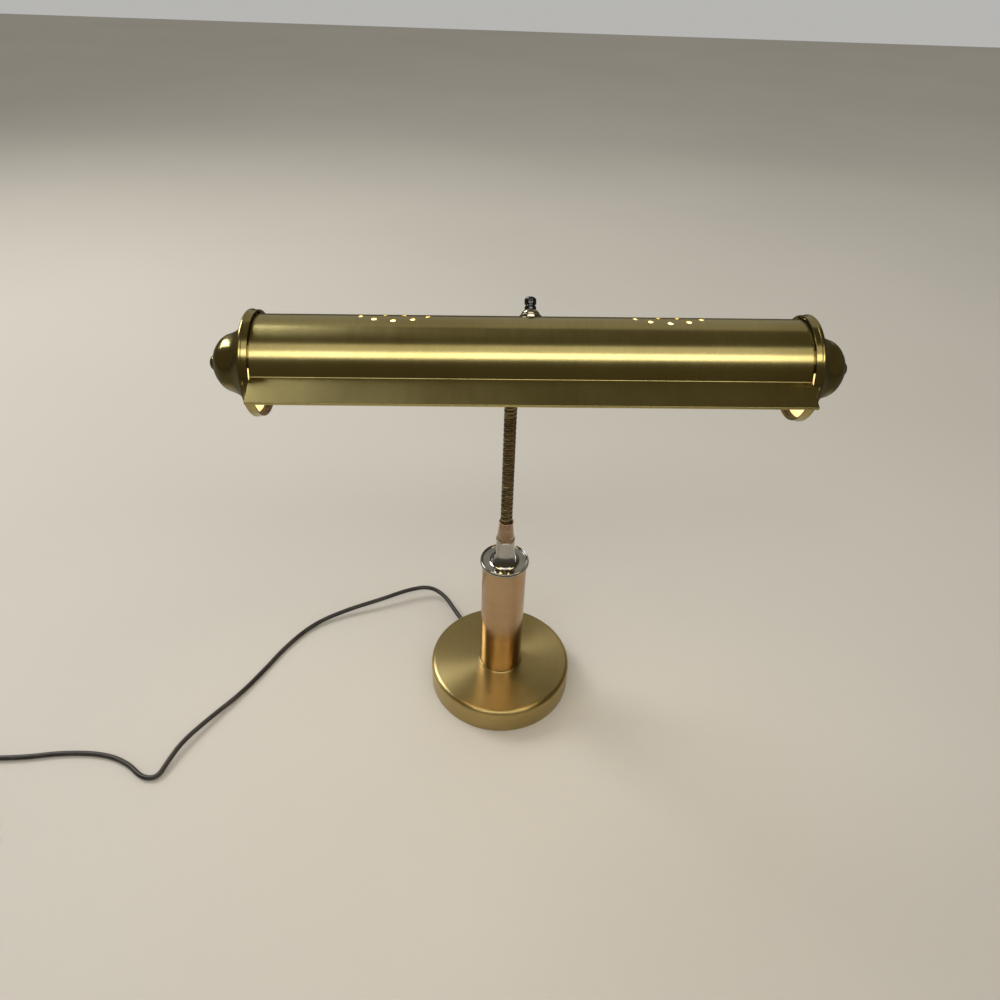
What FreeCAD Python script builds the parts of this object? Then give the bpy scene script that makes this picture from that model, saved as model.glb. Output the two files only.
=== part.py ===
import FreeCAD, Part
import math
import os

# A table lamp for a piano or a desk: a round weighted base, a stout brass post with a chrome cap, a
# gooseneck, and a long half-open brass shade with two tubular bulbs back to back. Millimetres. The
# origin is the middle of the base on the table, +X runs along the shade, +Y to the back, +Z up.

V = FreeCAD.Vector
UP = V(0, 0, 1)
FULL = 360

# Sheet metal and fits
SHEET = 0.8
FIT = 0.05
POLE = 0.8
PIPE_R = 4.75
PIPE_BORE = 3.2
HOLE_R = PIPE_R + 0.1
NUT_R = 8.2
NUT_H = 4.0

# Base
BASE_R = 76.2
BASE_H = 30.0
BASE_WALL = 1.0
BASE_EDGE = 5.0
BASE_LIFT = 0.5
FELT_H = 1.5
WEIGHT_H = 20.0
WEIGHT_GAP = 1.2
POCKET_R = 14.0
POCKET_H = 7.5
WASHER_R = 11.0
WASHER_H = 1.2
CHANNEL_W = 12.4
CHANNEL_LOW = 4.0

# Post and its cap
POST_R = 22.225
POST_WALL = 1.0
POST_TOP = 174.0
FOOT_R = 24.0
FOOT_H = 1.4
CENTRING_H = 3.0
DISH_R = 24.45
DISH_H = 3.0
DISH_RIM = 1.1
SPIGOT_H = 4.0
BELL_R = 13.5
BELL_NECK_R = 9.15
BELL_H = 31.0
BELL_TOP = POST_TOP + BELL_H

# Ferrules and gooseneck
FERRULE_H = 22.0
FERRULE_WIDE = 8.75
FERRULE_SLIM = 6.75
FERRULE_RIM = 0.5
THREAD_DEPTH = 9.0
NECK_R = 5.7
NECK_ROOT = 5.0
RIB_PITCH = 4.9
RIB_CREST = 2.8
RIB_SLOPE = 0.45
NECK_BORE = 1.6
BALL_R = 3.9
BALL_GAP = 0.35
STEM_R = 2.9
RIM_UP = 0.5
RIM_DOWN = 3.4
JOINT_ABOVE = 2.5
NECK_LINKS = 6
NECK_LEAN = 7.5
STUB = 13.0

# Shade. Angles go round its axis: 0 is to the front, 90 up, 180 to the back.
SHADE_RIGHT = 10.7
SHADE_FRONT = 45.3
SHADE_RISE = 211.4
SHADE = V(SHADE_RIGHT, -SHADE_FRONT, BELL_TOP + SHADE_RISE)
SHADE_TILT = 0.89
SHELL_R = 36.4
SHELL_WALL = 0.6
MOUTH_HALF = 200.4
CLIP_LAP = 3.6
SHELL_HALF = MOUTH_HALF + CLIP_LAP
LIP_ANGLE = 12.4
BACK_ANGLE = 246.0
VISOR = 23.4
VISOR_DROP = 20.5
HEM = 2.0
VENT_X = 100.5
VENT_ANGLE = 112.4
VENT_R = 2.0
OUTER_COUNT = 12
OUTER_LONG = 28.0
OUTER_ROUND = 15.9
INNER_COUNT = 6
INNER_LONG = 14.0
INNER_ROUND = 5.7

# End caps
CAP_R = 39.3
CAP_BAND = 5.4
CAP_BEAD = 1.5
CAP_FLARE_R = 29.4
CAP_WAIST_R = 24.6
CAP_SHOULDER_R = 21.3
CAP_FACE_R = 15.4
CAP_BUTTON_R = 6.0
CAP_BELL = 31.0
CLIP_W = 9.0
CLIP_ANGLES = (40.0, 125.0, 210.0)

# Neck fitting, bracket and lamp holders
FITTING_ANGLE = 225.0
FITTING_X = -11.4
SEAT_R = 10.0
SEAT_H = 2.1
BRACKET_W = 24.0
BRACKET_T = 1.2
BRACKET_HALF = 24.0
BRACKET_OUT = 33.7
HOLDER_R = 16.5
HOLDER_L = 39.0
HOLDER_BORE = 14.2
HOLDER_FLOOR = 12.0
SHELL_SCREW_R = 13.9
BULB_CAP_R = 13.0
BULB_CAP_L = 25.0
BULB_R = 16.0
BULB_L = 118.0
BULB_NECK_R = 12.2
GLASS = 0.8
CONTACT_R = 4.0
SCREW_R = 2.0
STEM_GLASS_R = 2.2
WIRE_R = 0.6
LEG_APART = 12.0

# Switch
SWITCH_ANGLE = 130.0
SWITCH_R = 13.5
SWITCH_OUT = 33.0
SWITCH_DEPTH = 18.0
SWITCH_WASHER = 7.5
RING_R = 8.5
RING_TOP = 38.2
DOME_R = 7.0
DOME_TOP = 41.9
KNOB_GAP = 0.4
KNOB_R = 4.5
KNOB_FLANGE_R = 4.4
KNOB_WAIST_R = 3.65
KNOB_L = 10.0
SHAFT_R = 2.5

# Cord
CORD_D = 5.0
CORD_ANGLE = 122.0
CORD_Z = 10.0
BUSH_R = 6.0
BUSH_THROAT = 4.2
BUSH_OUT = 3.0
TIE_T = 0.8
TIE_GAP = 0.45
TIE_W = 6.0
TURN_GAP = 0.45
COIL_CENTRE = (-560.0, -156.0)
COIL_R = 38.0
COIL_HALF_TURNS = 5
COIL_TAIL = 36.0
PLUG_L = 30.0
PLUG_W = 24.0
PLUG_NECK = 9.0
BLADE = (17.0, 6.3, 1.5)
BLADE_APART = 12.7
CORD_ROUTE = (
    (-53.5, 86.0, 10.8),
    (-67.0, 111.0, 12.0),
    (-87.0, 127.0, 12.5),
    (-113.0, 121.5, 12.0),
    (-146.0, 105.5, 10.0),
    (-184.0, 91.5, 6.5),
    (-222.0, 70.5, 3.4),
    (-248.0, 36.5, 2.5),
    (-265.5, 0.0, 2.5),
    (-283.5, -34.0, 2.9),
    (-307.0, -68.0, 5.2),
    (-326.0, -98.0, 6.6),
    (-333.5, -121.0, 5.2),
    (-338.5, -137.0, 3.2),
    (-354.0, -137.0, 2.5),
    (-373.0, -121.0, 2.5),
    (-402.0, -110.5, 2.5),
    (-444.0, -110.0, 2.5),
    (-484.0, -117.0, 2.9),
)

os.makedirs("parts", exist_ok=True)
made = {}


def keep(name, shape):
    made[name] = shape
    shape.exportStep(f"parts/{name}.step")


def rod(radius, low, high):
    return Part.makeCylinder(radius, high - low, V(0, 0, low))


def ring(outer, inner, low, high):
    return rod(outer, low, high).cut(rod(inner, low - 1, high + 1))


def hexagon(radius, low, high):
    corners = [V(radius * math.cos(math.radians(60 * k)), radius * math.sin(math.radians(60 * k)), low)
               for k in range(7)]
    return Part.Face(Part.makePolygon(corners)).extrude(V(0, 0, high - low))


def outline(start, steps):
    """Edges from a start through straight steps (x, z) and arcs ((x, z) on the way, (x, z) end)."""
    here = V(start[0], 0, start[1])
    edges = []
    for step in steps:
        if isinstance(step[0], tuple):
            there = V(step[1][0], 0, step[1][1])
            edges.append(Part.Arc(here, V(step[0][0], 0, step[0][1]), there).toShape())
        else:
            there = V(step[0], 0, step[1])
            edges.append(Part.makeLine(here, there))
        here = there
    return edges


def lathe(start, steps):
    """A solid turned about +Z from a closed outline."""
    edges = outline(start, steps)
    first = edges[0].Vertexes[0].Point
    last = edges[-1].Vertexes[-1].Point
    if first.distanceToPoint(last) > 1e-6:
        edges.append(Part.makeLine(last, first))
    return Part.Face(Part.Wire(edges)).revolve(V(0, 0, 0), UP, FULL)


def spun(start, steps, wall):
    """A sheet of even wall turned about +Z, on one side of an open outline."""
    wire = Part.Wire(outline(start, steps))
    return wire.makeOffset2D(wall, 0, True, True, False).revolve(V(0, 0, 0), UP, FULL)


def move(shape, place):
    shape = shape.copy()
    shape.Placement = place.multiply(shape.Placement)
    return shape


def turn(shape, axis, angle, shift=V(0, 0, 0)):
    return move(shape, FreeCAD.Placement(shift, FreeCAD.Rotation(axis, angle)))


def aim(shape, angle, x=0.0):
    """Turns +Z to the direction at an angle round the shade's axis, and moves it along the axis."""
    return turn(shape, V(1, 0, 0), 90 - angle, V(x, 0, 0))


def around(angle, distance, x=0.0):
    a = math.radians(angle)
    return V(x, -distance * math.cos(a), distance * math.sin(a))


HEAD = FreeCAD.Placement(SHADE, FreeCAD.Rotation(V(0, 1, 0), -SHADE_TILT))


def keep_head(name, shape):
    keep(name, move(shape, HEAD))


def lying(shape, side):
    """Turns +Z to the right (side 1) or to the left (side -1) along the shade's axis."""
    return turn(shape, V(0, 1, 0), 90 * side)


def along_x(radius, low, high):
    return Part.makeCylinder(radius, high - low, V(low, 0, 0), V(1, 0, 0))


# Heights that follow from the sizes above
WEIGHT_LOW = FELT_H
WEIGHT_TOP = WEIGHT_LOW + WEIGHT_H
COVER_UNDER = BASE_H - BASE_WALL
NUT_LOW = WEIGHT_LOW + POCKET_H - WASHER_H - NUT_H
DISH_TOP = POST_TOP + DISH_H
FERRULE_TOP = BELL_TOP + FERRULE_H
NECK_FOOT = BELL_TOP + THREAD_DEPTH + 1.0
NECK_START = V(0, 0, FERRULE_TOP + JOINT_ABOVE)
PIPE_TOP = BELL_TOP + THREAD_DEPTH
BUSH_SEAT = BASE_R - BASE_WALL
CORD_AIM = V(math.cos(math.radians(CORD_ANGLE)), math.sin(math.radians(CORD_ANGLE)), 0)
CORD_START = CORD_AIM * (BASE_R + BUSH_OUT) + UP * CORD_Z


def cord_side(shape):
    """Turns a piece made about +Z at the origin to stand out of the base's wall where the cord leaves."""
    laid = turn(shape, V(0, 1, 0), 90)
    return turn(laid, UP, CORD_ANGLE, V(0, 0, CORD_Z))


def base():
    edge = BASE_R - BASE_EDGE
    corner = BASE_EDGE * (1 - math.sqrt(0.5))
    steps = [(edge, BASE_H),
             ((BASE_R - corner, BASE_H - corner), (BASE_R, BASE_H - BASE_EDGE)),
             (BASE_R, BASE_LIFT)]
    cover = spun((HOLE_R, BASE_H), steps, -BASE_WALL)
    hole = cord_side(rod(BUSH_THROAT + FIT, BASE_R - 8, BASE_R + 8))
    keep("base_cover", cover.cut(hole))
    weight_r = BASE_R - BASE_WALL - WEIGHT_GAP
    weight = rod(weight_r, WEIGHT_LOW, WEIGHT_TOP).fuse(rod(POCKET_R, WEIGHT_TOP, COVER_UNDER))
    channel = Part.makeBox(weight_r + 5, CHANNEL_W, COVER_UNDER, V(0, -CHANNEL_W / 2, CHANNEL_LOW))
    weight = weight.cut(rod(POCKET_R - 1, WEIGHT_LOW - 1, WEIGHT_LOW + POCKET_H))
    weight = weight.cut(rod(HOLE_R, 0, BASE_H)).cut(turn(channel, UP, CORD_ANGLE))
    keep("base_weight", weight)
    keep("base_felt", rod(weight_r, 0, FELT_H))
    keep("base_washer", ring(WASHER_R, PIPE_R + FIT, NUT_LOW + NUT_H, NUT_LOW + NUT_H + WASHER_H))
    keep("base_nut", hexagon(NUT_R, NUT_LOW, NUT_LOW + NUT_H).cut(rod(PIPE_R, 0, BASE_H)))
    keep("tie_rod", ring(PIPE_R, PIPE_BORE, NUT_LOW - 1.0, PIPE_TOP))


def post():
    top = BASE_H
    keep("post_foot_ring", lathe((POST_R + FIT, top), [(FOOT_R, top), (FOOT_R, top + 0.6),
         ((FOOT_R - 0.3, top + 1.1), (FOOT_R - 0.8, top + FOOT_H)), (POST_R + FIT, top + FOOT_H)]))
    keep("post_tube", ring(POST_R, POST_R - POST_WALL, top, POST_TOP))
    keep("post_centring_disc", ring(POST_R - POST_WALL - FIT, HOLE_R, top, top + CENTRING_H))
    spigot_r = POST_R - POST_WALL - FIT
    rim = DISH_TOP + DISH_RIM
    dish = lathe((HOLE_R, POST_TOP - SPIGOT_H), [
        (spigot_r, POST_TOP - SPIGOT_H), (spigot_r, POST_TOP), (DISH_R - 0.5, POST_TOP),
        ((DISH_R, POST_TOP + DISH_H / 2), (DISH_R - 0.5, DISH_TOP)),
        ((DISH_R - 1.1, rim), (DISH_R - 1.9, rim - 0.5)),
        (DISH_R - 3.0, DISH_TOP - 0.4), (BELL_R + 2.6, DISH_TOP - 0.4),
        ((BELL_R + 1.9, DISH_TOP - 0.1), (BELL_R + 1.2, DISH_TOP)), (HOLE_R, DISH_TOP)])
    keep("cap_dish", dish)
    keep("cap_nut", hexagon(NUT_R, DISH_TOP, DISH_TOP + NUT_H).cut(rod(PIPE_R, 0, BELL_TOP)))
    steps = [(BELL_R, DISH_TOP), (BELL_R, DISH_TOP + 1.0),
             ((BELL_R - 1.7, DISH_TOP + 4.8), (BELL_NECK_R + 1.0, DISH_TOP + 10.0)),
             ((BELL_NECK_R + 0.3, DISH_TOP + 16.0), (BELL_NECK_R - 0.15, BELL_TOP - 3.5)),
             (BELL_NECK_R, BELL_TOP - 2.6), (BELL_NECK_R, BELL_TOP), (HOLE_R, BELL_TOP)]
    bell = lathe((HOLE_R, DISH_TOP), steps)
    room = rod(NUT_R + 0.4, DISH_TOP - 1, DISH_TOP + NUT_H + 0.6)
    keep("cap_bell", bell.cut(room))


def ferrule_shape():
    """A tapered ferrule with a rim at each end: wide end at 0, slim end at its height."""
    steps = [(FERRULE_WIDE, 0), (FERRULE_WIDE, 1.6), (FERRULE_WIDE - FERRULE_RIM, 2.2),
             (FERRULE_SLIM - FERRULE_RIM * 0.4, FERRULE_H - 2.2), (FERRULE_SLIM + 0.2, FERRULE_H - 1.7),
             (FERRULE_SLIM + 0.2, FERRULE_H - 0.3), (FERRULE_SLIM - 0.1, FERRULE_H), (0, FERRULE_H)]
    body = lathe((0, 0), steps)
    bore = rod(NECK_R + FIT, THREAD_DEPTH + 0.6, FERRULE_H + 1)
    return body.cut(bore).cut(rod(PIPE_R + FIT, -1, FERRULE_H))


def ribbed(length, low=0.0):
    """A ribbed tube along +X from low to length: plain ends, and ribs at the pitch between them."""
    count = int((length - low) / RIB_PITCH)
    start = low + (length - low - count * RIB_PITCH) / 2
    stations = [(low, NECK_R)]
    for k in range(count):
        x = start + k * RIB_PITCH
        stations += [(x + RIB_SLOPE, NECK_ROOT), (x + 2 * RIB_SLOPE, NECK_R),
                     (x + 2 * RIB_SLOPE + RIB_CREST, NECK_R), (x + 3 * RIB_SLOPE + RIB_CREST, NECK_ROOT)]
    stations += [(length, NECK_R)]
    circles = [Part.Wire(Part.makeCircle(r, V(x, 0, 0), V(1, 0, 0))) for x, r in stations]
    return Part.makeLoft(circles, True, True)


def with_ball(shape, length):
    """Adds the stem and ball at the far end of a link, so that the next one turns on it."""
    stem = along_x(STEM_R, length - RIM_DOWN - 1, length)
    return shape.fuse(stem).fuse(Part.makeSphere(BALL_R, V(length, 0, 0)))


def with_socket(shape):
    return shape.cut(Part.makeSphere(BALL_R + BALL_GAP, V(0, 0, 0)))


def drilled(shape, length):
    return shape.cut(along_x(NECK_BORE, -RIM_DOWN - 20, length + 20))


def neck_path():
    """The gooseneck's joints: a straight lean to the back, then an arc into the shade's fitting."""
    end = HEAD.multVec(around(FITTING_ANGLE, FITTING_REACH + JOINT_ABOVE, FITTING_X))
    lean = math.radians(-NECK_LEAN)
    entry = math.radians(FITTING_ANGLE - 180)
    forward = NECK_START.y - end.y
    rise = end.z - NECK_START.z
    bend = math.cos(lean) - math.cos(entry)
    climb = math.sin(entry) - math.sin(lean)
    straight = (rise - climb * forward / bend) / (math.cos(lean) - climb * math.sin(lean) / bend)
    radius = (forward - straight * math.sin(lean)) / bend
    total = straight + radius * (entry - lean)
    points = []
    for k in range(NECK_LINKS + 1):
        s = total * k / NECK_LINKS
        a = lean + max(0.0, s - straight) / radius
        run = min(s, straight)
        y = -run * math.sin(lean) - radius * (math.cos(lean) - math.cos(a))
        z = run * math.cos(lean) + radius * (math.sin(a) - math.sin(lean))
        x = end.x * k / NECK_LINKS
        points.append(V(x, NECK_START.y + y, NECK_START.z + z))
    print("neck: straight", round(straight, 2), "radius", round(radius, 2), "length", round(total, 2))
    return points


def between(shape, low, high):
    """Moves a shape made along +X so that it runs from low towards high."""
    return move(shape, FreeCAD.Placement(low, FreeCAD.Rotation(V(1, 0, 0), high - low)))


def neck():
    keep("lower_ferrule", ferrule_shape().translated(UP * BELL_TOP))
    foot_length = NECK_START.z - NECK_FOOT
    foot = drilled(with_ball(ribbed(foot_length - RIM_DOWN), foot_length), foot_length)
    keep("neck_foot", between(foot, V(0, 0, NECK_FOOT), NECK_START))
    points = neck_path()
    for k in range(NECK_LINKS):
        length = points[k].distanceToPoint(points[k + 1])
        link = with_ball(ribbed(length - RIM_DOWN, RIM_UP), length)
        keep(f"neck_link_{k + 1}", between(drilled(with_socket(link), length), points[k], points[k + 1]))
    for k, p in enumerate(points):
        print("neck joint", k + 1, [round(c, 3) for c in p])


SEAT_TOP = SHELL_R + SEAT_H
FITTING_REACH = SEAT_TOP + FERRULE_H


def neck_end():
    ferrule = ferrule_shape().translated(UP * SEAT_TOP)
    keep_head("upper_ferrule", aim(ferrule, FITTING_ANGLE, FITTING_X))
    tip = drilled(with_socket(ribbed(STUB, RIM_UP)), STUB)
    tip = turn(tip, V(0, 1, 0), 90, V(0, 0, FITTING_REACH + JOINT_ABOVE))
    keep_head("neck_tip", aim(tip, FITTING_ANGLE, FITTING_X))
    seat = ring(SEAT_R, HOLE_R, SHELL_R - 3, SEAT_TOP)
    keep_head("shade_seat", aim(seat, FITTING_ANGLE, FITTING_X).cut(along_x(SHELL_R, -50, 50)))
    inside = BRACKET_OUT - BRACKET_T
    nut_low = inside - WASHER_H - NUT_H
    pipe = ring(PIPE_R, PIPE_BORE, nut_low - 2, SEAT_TOP + THREAD_DEPTH)
    keep_head("neck_nipple", aim(pipe, FITTING_ANGLE, FITTING_X))
    washer = ring(WASHER_R - 2, PIPE_R + FIT, inside - WASHER_H, inside)
    keep_head("nipple_washer", aim(washer, FITTING_ANGLE, FITTING_X))
    nut = hexagon(NUT_R, nut_low, nut_low + NUT_H).cut(rod(PIPE_R, 0, SEAT_TOP))
    keep_head("nipple_nut", aim(nut, FITTING_ANGLE, FITTING_X))


def shell():
    top, lip, back = around(90, SHELL_R), around(LIP_ANGLE, SHELL_R), around(BACK_ANGLE, SHELL_R)
    drop = math.radians(VISOR_DROP)
    edge = lip + V(0, -VISOR * math.cos(drop), -VISOR * math.sin(drop))
    hem = edge + V(0, HEM * math.sin(drop), -HEM * math.cos(drop))
    middle = around(175, SHELL_R)
    arcs = [Part.Arc(back, middle, top).toShape(), Part.Arc(top, around(50, SHELL_R), lip).toShape()]
    sheet = Part.Wire(arcs)
    body = strip(sheet, SHELL_HALF)
    visor = strip(Part.Wire([Part.Arc(around(LIP_ANGLE + 14, SHELL_R), around(LIP_ANGLE + 7, SHELL_R),
                                      lip).toShape(), Part.makeLine(lip, edge),
                             Part.makeLine(edge, hem)]), MOUTH_HALF)
    body = body.cut(lip_notches(lip)).fuse(visor).removeSplitter()
    hole = rod(HOLE_R, SHELL_R - 4, SHELL_R + 4)
    holes = [aim(hole, FITTING_ANGLE, FITTING_X), aim(hole, SWITCH_ANGLE)]
    for side in (-1, 1):
        holes += vent_group(side * VENT_X)
    keep_head("shade_shell", body.cut(Part.makeCompound(holes)))


def strip(wire, half):
    """A sheet of the shell's wall on the inner side of an outline in the YZ plane, along the shade."""
    inner = wire.makeOffset2D(-SHELL_WALL, 0, True, True, False)
    if inner.BoundBox.DiagonalLength > wire.BoundBox.DiagonalLength + SHELL_WALL:
        inner = wire.makeOffset2D(SHELL_WALL, 0, True, True, False)
    inner.translate(V(-half, 0, 0))
    return inner.extrude(V(2 * half, 0, 0))


def lip_notches(lip):
    """The corners of the lip are cut away where the cap's mouth passes between shell and visor."""
    width = CLIP_LAP + 2
    cuts = []
    for side in (-1, 1):
        x = MOUTH_HALF if side > 0 else -MOUTH_HALF - width
        cuts.append(Part.makeBox(width, 20, 14, V(x, lip.y - 10, lip.z - 7)))
    return Part.makeCompound(cuts)


def vent_group(x):
    """Two rings of round holes, one inside the other, in the upper back of the shell."""
    holes = []
    for count, half_long, half_round in ((OUTER_COUNT, OUTER_LONG, OUTER_ROUND),
                                         (INNER_COUNT, INNER_LONG, INNER_ROUND)):
        for k in range(count):
            t = 2 * math.pi * k / count
            angle = VENT_ANGLE + math.degrees(half_round * math.sin(t) / SHELL_R)
            holes.append(aim(rod(VENT_R, SHELL_R - 4, SHELL_R + 4), angle, x + half_long * math.cos(t)))
    return holes


def cap_shape():
    """An end cap turned about +Z, its mouth at 0 and its button at the top."""
    band = CAP_BAND
    bell = band + CAP_BELL
    steps = [(CAP_R, band - 1.2), ((CAP_R + CAP_BEAD * 0.4, band + 0.6), (CAP_R - 0.6, band + 2.0)),
             (CAP_R - 2.6, band + 1.6), ((CAP_FLARE_R + 3.0, band + 3.3), (CAP_FLARE_R, band + 6.0)),
             ((CAP_WAIST_R + 2.0, band + 8.8), (CAP_WAIST_R, band + 11.2)),
             ((CAP_SHOULDER_R + 1.3, band + 15.0), (CAP_SHOULDER_R, band + 18.8)),
             ((CAP_FACE_R + 3.5, bell - 8.2), (CAP_FACE_R, bell - 5.0)),
             ((CAP_FACE_R - 3.8, bell - 2.5), (CAP_BUTTON_R + 2.0, bell - 0.7)),
             (CAP_BUTTON_R, bell + 0.3), ((CAP_BUTTON_R * 0.73, bell + 1.6), (POLE, bell + 2.9)),
             (0, bell + 2.9)]
    outer = lathe((0, 0), [(CAP_R, 0)] + steps)
    w = SHEET
    inner_steps = [(CAP_R - w, band - 1.0), (CAP_R - 2.4, band + 0.8),
                   ((CAP_FLARE_R + 2.6, band + 2.6), (CAP_FLARE_R - 0.6, band + 5.4)),
                   ((CAP_WAIST_R + 1.4, band + 8.3), (CAP_WAIST_R - 0.7, band + 10.7)),
                   ((CAP_SHOULDER_R + 0.6, band + 14.7), (CAP_SHOULDER_R - 0.7, band + 18.5)),
                   ((CAP_FACE_R + 2.9, bell - 8.7), (CAP_FACE_R - 0.5, bell - 5.6)),
                   ((CAP_FACE_R - 4.2, bell - 3.2), (CAP_BUTTON_R + 1.7, bell - 1.4)),
                   (CAP_BUTTON_R - 0.4, bell - 0.4),
                   ((CAP_BUTTON_R * 0.66, bell + 0.9), (POLE, bell + 2.1)), (0, bell + 2.1)]
    inner = lathe((0, -1), [(CAP_R - w, -1)] + inner_steps)
    return outer.cut(inner)


def caps():
    cap = cap_shape()
    length = CLIP_LAP
    band = along_x(CAP_R - SHEET - FIT, 0, length).cut(along_x(SHELL_R + FIT, -1, length + 1))
    clip = band.common(Part.makeBox(length, CLIP_W, CAP_R, V(0, -CLIP_W / 2, 0)))
    for side, name in ((-1, "left"), (1, "right")):
        keep_head(f"end_cap_{name}", lying(cap, side).translated(V(side * MOUTH_HALF, 0, 0)))
        low = MOUTH_HALF if side > 0 else -SHELL_HALF
        keep_head(f"cap_clips_{name}", Part.makeCompound([aim(clip, a, low) for a in CLIP_ANGLES]))


def bracket():
    web_low = BRACKET_OUT - BRACKET_T
    half = BRACKET_HALF + BRACKET_T
    tip = -BRACKET_W / 2
    solid = Part.makeBox(2 * half, BRACKET_W, BRACKET_OUT - tip, V(-half, -BRACKET_W / 2, tip))
    inside = Part.makeBox(2 * BRACKET_HALF, BRACKET_W + 2, web_low - tip + 1,
                          V(-BRACKET_HALF, -BRACKET_W / 2 - 1, tip - 1))
    strap = solid.cut(inside).cut(rod(HOLE_R, 0, SHELL_R).translated(V(FITTING_X, 0, 0)))
    strap = strap.cut(along_x(SCREW_R + 0.1, -half - 1, half + 1))
    keep_head("socket_bracket", aim(strap, FITTING_ANGLE))


def lamp_side(side, name):
    """One lamp holder and its bulb, made about +Z from the middle of the shade outwards."""
    back = BRACKET_HALF + BRACKET_T
    floor = back + HOLDER_FLOOR
    mouth = back + HOLDER_L
    holder = ring(HOLDER_R, HOLDER_BORE, floor, mouth).fuse(rod(HOLDER_R, back, floor)).removeSplitter()
    holder = holder.cut(rod(SCREW_R, back - 1, back + 7))
    keep_head(f"socket_{name}", lying(holder, side))
    screw_top = mouth - 3.0
    keep_head(f"socket_shell_{name}", lying(ring(SHELL_SCREW_R + 0.25, SHELL_SCREW_R - 0.35,
                                                 floor, screw_top), side))
    bulb_low = floor + 2.0
    contact = rod(CONTACT_R, floor, floor + 1.0).fuse(rod(2.0, floor + 1.0, bulb_low)).removeSplitter()
    keep_head(f"socket_contact_{name}", lying(contact, side))
    screw = rod(3.6, BRACKET_HALF - 1.8, BRACKET_HALF).fuse(rod(SCREW_R, BRACKET_HALF, back + 6))
    cap_top = bulb_low + BULB_CAP_L
    cap = lathe((0, bulb_low), [(4.0, bulb_low), (6.0, bulb_low + 2.5), (BULB_CAP_R - 0.6, bulb_low + 5),
                (BULB_CAP_R, bulb_low + 6.5), (BULB_CAP_R, cap_top), (BULB_CAP_R - 0.3, cap_top),
                (BULB_CAP_R - 0.3, bulb_low + 7.5), (0, bulb_low + 7.5)])
    keep_head(f"bulb_cap_{name}", lying(cap, side))
    glass_low = bulb_low + 9
    tip = cap_top + BULB_L
    throat = BULB_NECK_R
    turn_low = cap_top + 9
    outer = lathe((0, glass_low), [(throat, glass_low), (throat, cap_top + 1),
                  ((throat + 2.4, cap_top + 4.2), (BULB_R, turn_low)), (BULB_R, tip - BULB_R * 0.75),
                  ((BULB_R * 0.74, tip - BULB_R * 0.22), (POLE, tip)), (0, tip)])
    inner_r = BULB_R - GLASS
    inner = lathe((0, glass_low - 1), [(throat - GLASS, glass_low - 1), (throat - GLASS, cap_top + 1.4),
                  ((throat + 1.7, cap_top + 4.8), (inner_r, turn_low + 0.4)),
                  (inner_r, tip - BULB_R * 0.75), ((inner_r * 0.74, tip - BULB_R * 0.22 - GLASS),
                                                   (POLE, tip - GLASS)), (0, tip - GLASS)])
    keep_head(f"bulb_glass_{name}", lying(outer.cut(inner), side))
    stem = rod(STEM_GLASS_R, bulb_low + 7.5, cap_top + 14)
    wire = WIRE_R
    mast = rod(wire, cap_top + 13, tip - 14)
    legs = [Part.makeBox(2 * wire, 2 * wire, tip - 18 - cap_top - 8,
                         V(-wire, LEG_APART / 2 * s - wire, cap_top + 8)) for s in (-1, 1)]
    bars = [Part.makeBox(2 * wire, LEG_APART + 2, 2 * wire, V(-wire, -LEG_APART / 2 - 1, z))
            for z in (cap_top + 10, tip - 20)]
    keep_head(f"bulb_filament_{name}", lying(stem.multiFuse([mast] + legs + bars).removeSplitter(), side))
    return lying(screw, side)


def lamps():
    screws = [lamp_side(-1, "left"), lamp_side(1, "right")]
    keep_head("socket_screws", Part.makeCompound(screws))


def switch():
    low = SWITCH_OUT - SWITCH_DEPTH
    body = rod(SWITCH_R, low, SWITCH_OUT).fuse(rod(PIPE_R, SWITCH_OUT, DOME_TOP)).removeSplitter()
    body = body.cut(rod(SHAFT_R + 0.08, SWITCH_OUT - 5, DOME_TOP + 1))
    keep_head("switch_body", aim(body, SWITCH_ANGLE))
    keep_head("switch_washer", aim(ring(SWITCH_WASHER, HOLE_R, SWITCH_OUT, SWITCH_OUT + 2.0), SWITCH_ANGLE))
    keep_head("switch_ring", aim(ring(RING_R, HOLE_R, SHELL_R - 3, RING_TOP), SWITCH_ANGLE)
              .cut(along_x(SHELL_R, -50, 50)))
    dome = lathe((PIPE_R + FIT, RING_TOP), [(DOME_R, RING_TOP), (DOME_R, RING_TOP + 1.2),
                 ((DOME_R - 0.7, DOME_TOP - 1.1), (PIPE_R + 0.4, DOME_TOP)), (PIPE_R + FIT, DOME_TOP)])
    keep_head("switch_nut", aim(dome, SWITCH_ANGLE))
    knob_low = DOME_TOP + KNOB_GAP
    knob_top = knob_low + KNOB_L
    knob = lathe((0, knob_low), [(KNOB_FLANGE_R, knob_low), (KNOB_FLANGE_R, knob_low + 2.6),
                 ((KNOB_WAIST_R + 0.1, knob_low + 3.0), (KNOB_WAIST_R, knob_low + 3.6)),
                 (KNOB_WAIST_R, knob_low + 4.1), (KNOB_R, knob_low + 4.5), (KNOB_R, knob_top - 2.2),
                 ((KNOB_R * 0.8, knob_top - 0.6), (KNOB_R * 0.45, knob_top)), (0, knob_top)])
    knob = knob.cut(rod(SHAFT_R, knob_low - 1, knob_low + 7))
    keep_head("switch_knob", aim(knob, SWITCH_ANGLE))
    keep_head("switch_shaft", aim(rod(SHAFT_R, SWITCH_OUT - 4.5, knob_low + 7), SWITCH_ANGLE))


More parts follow.
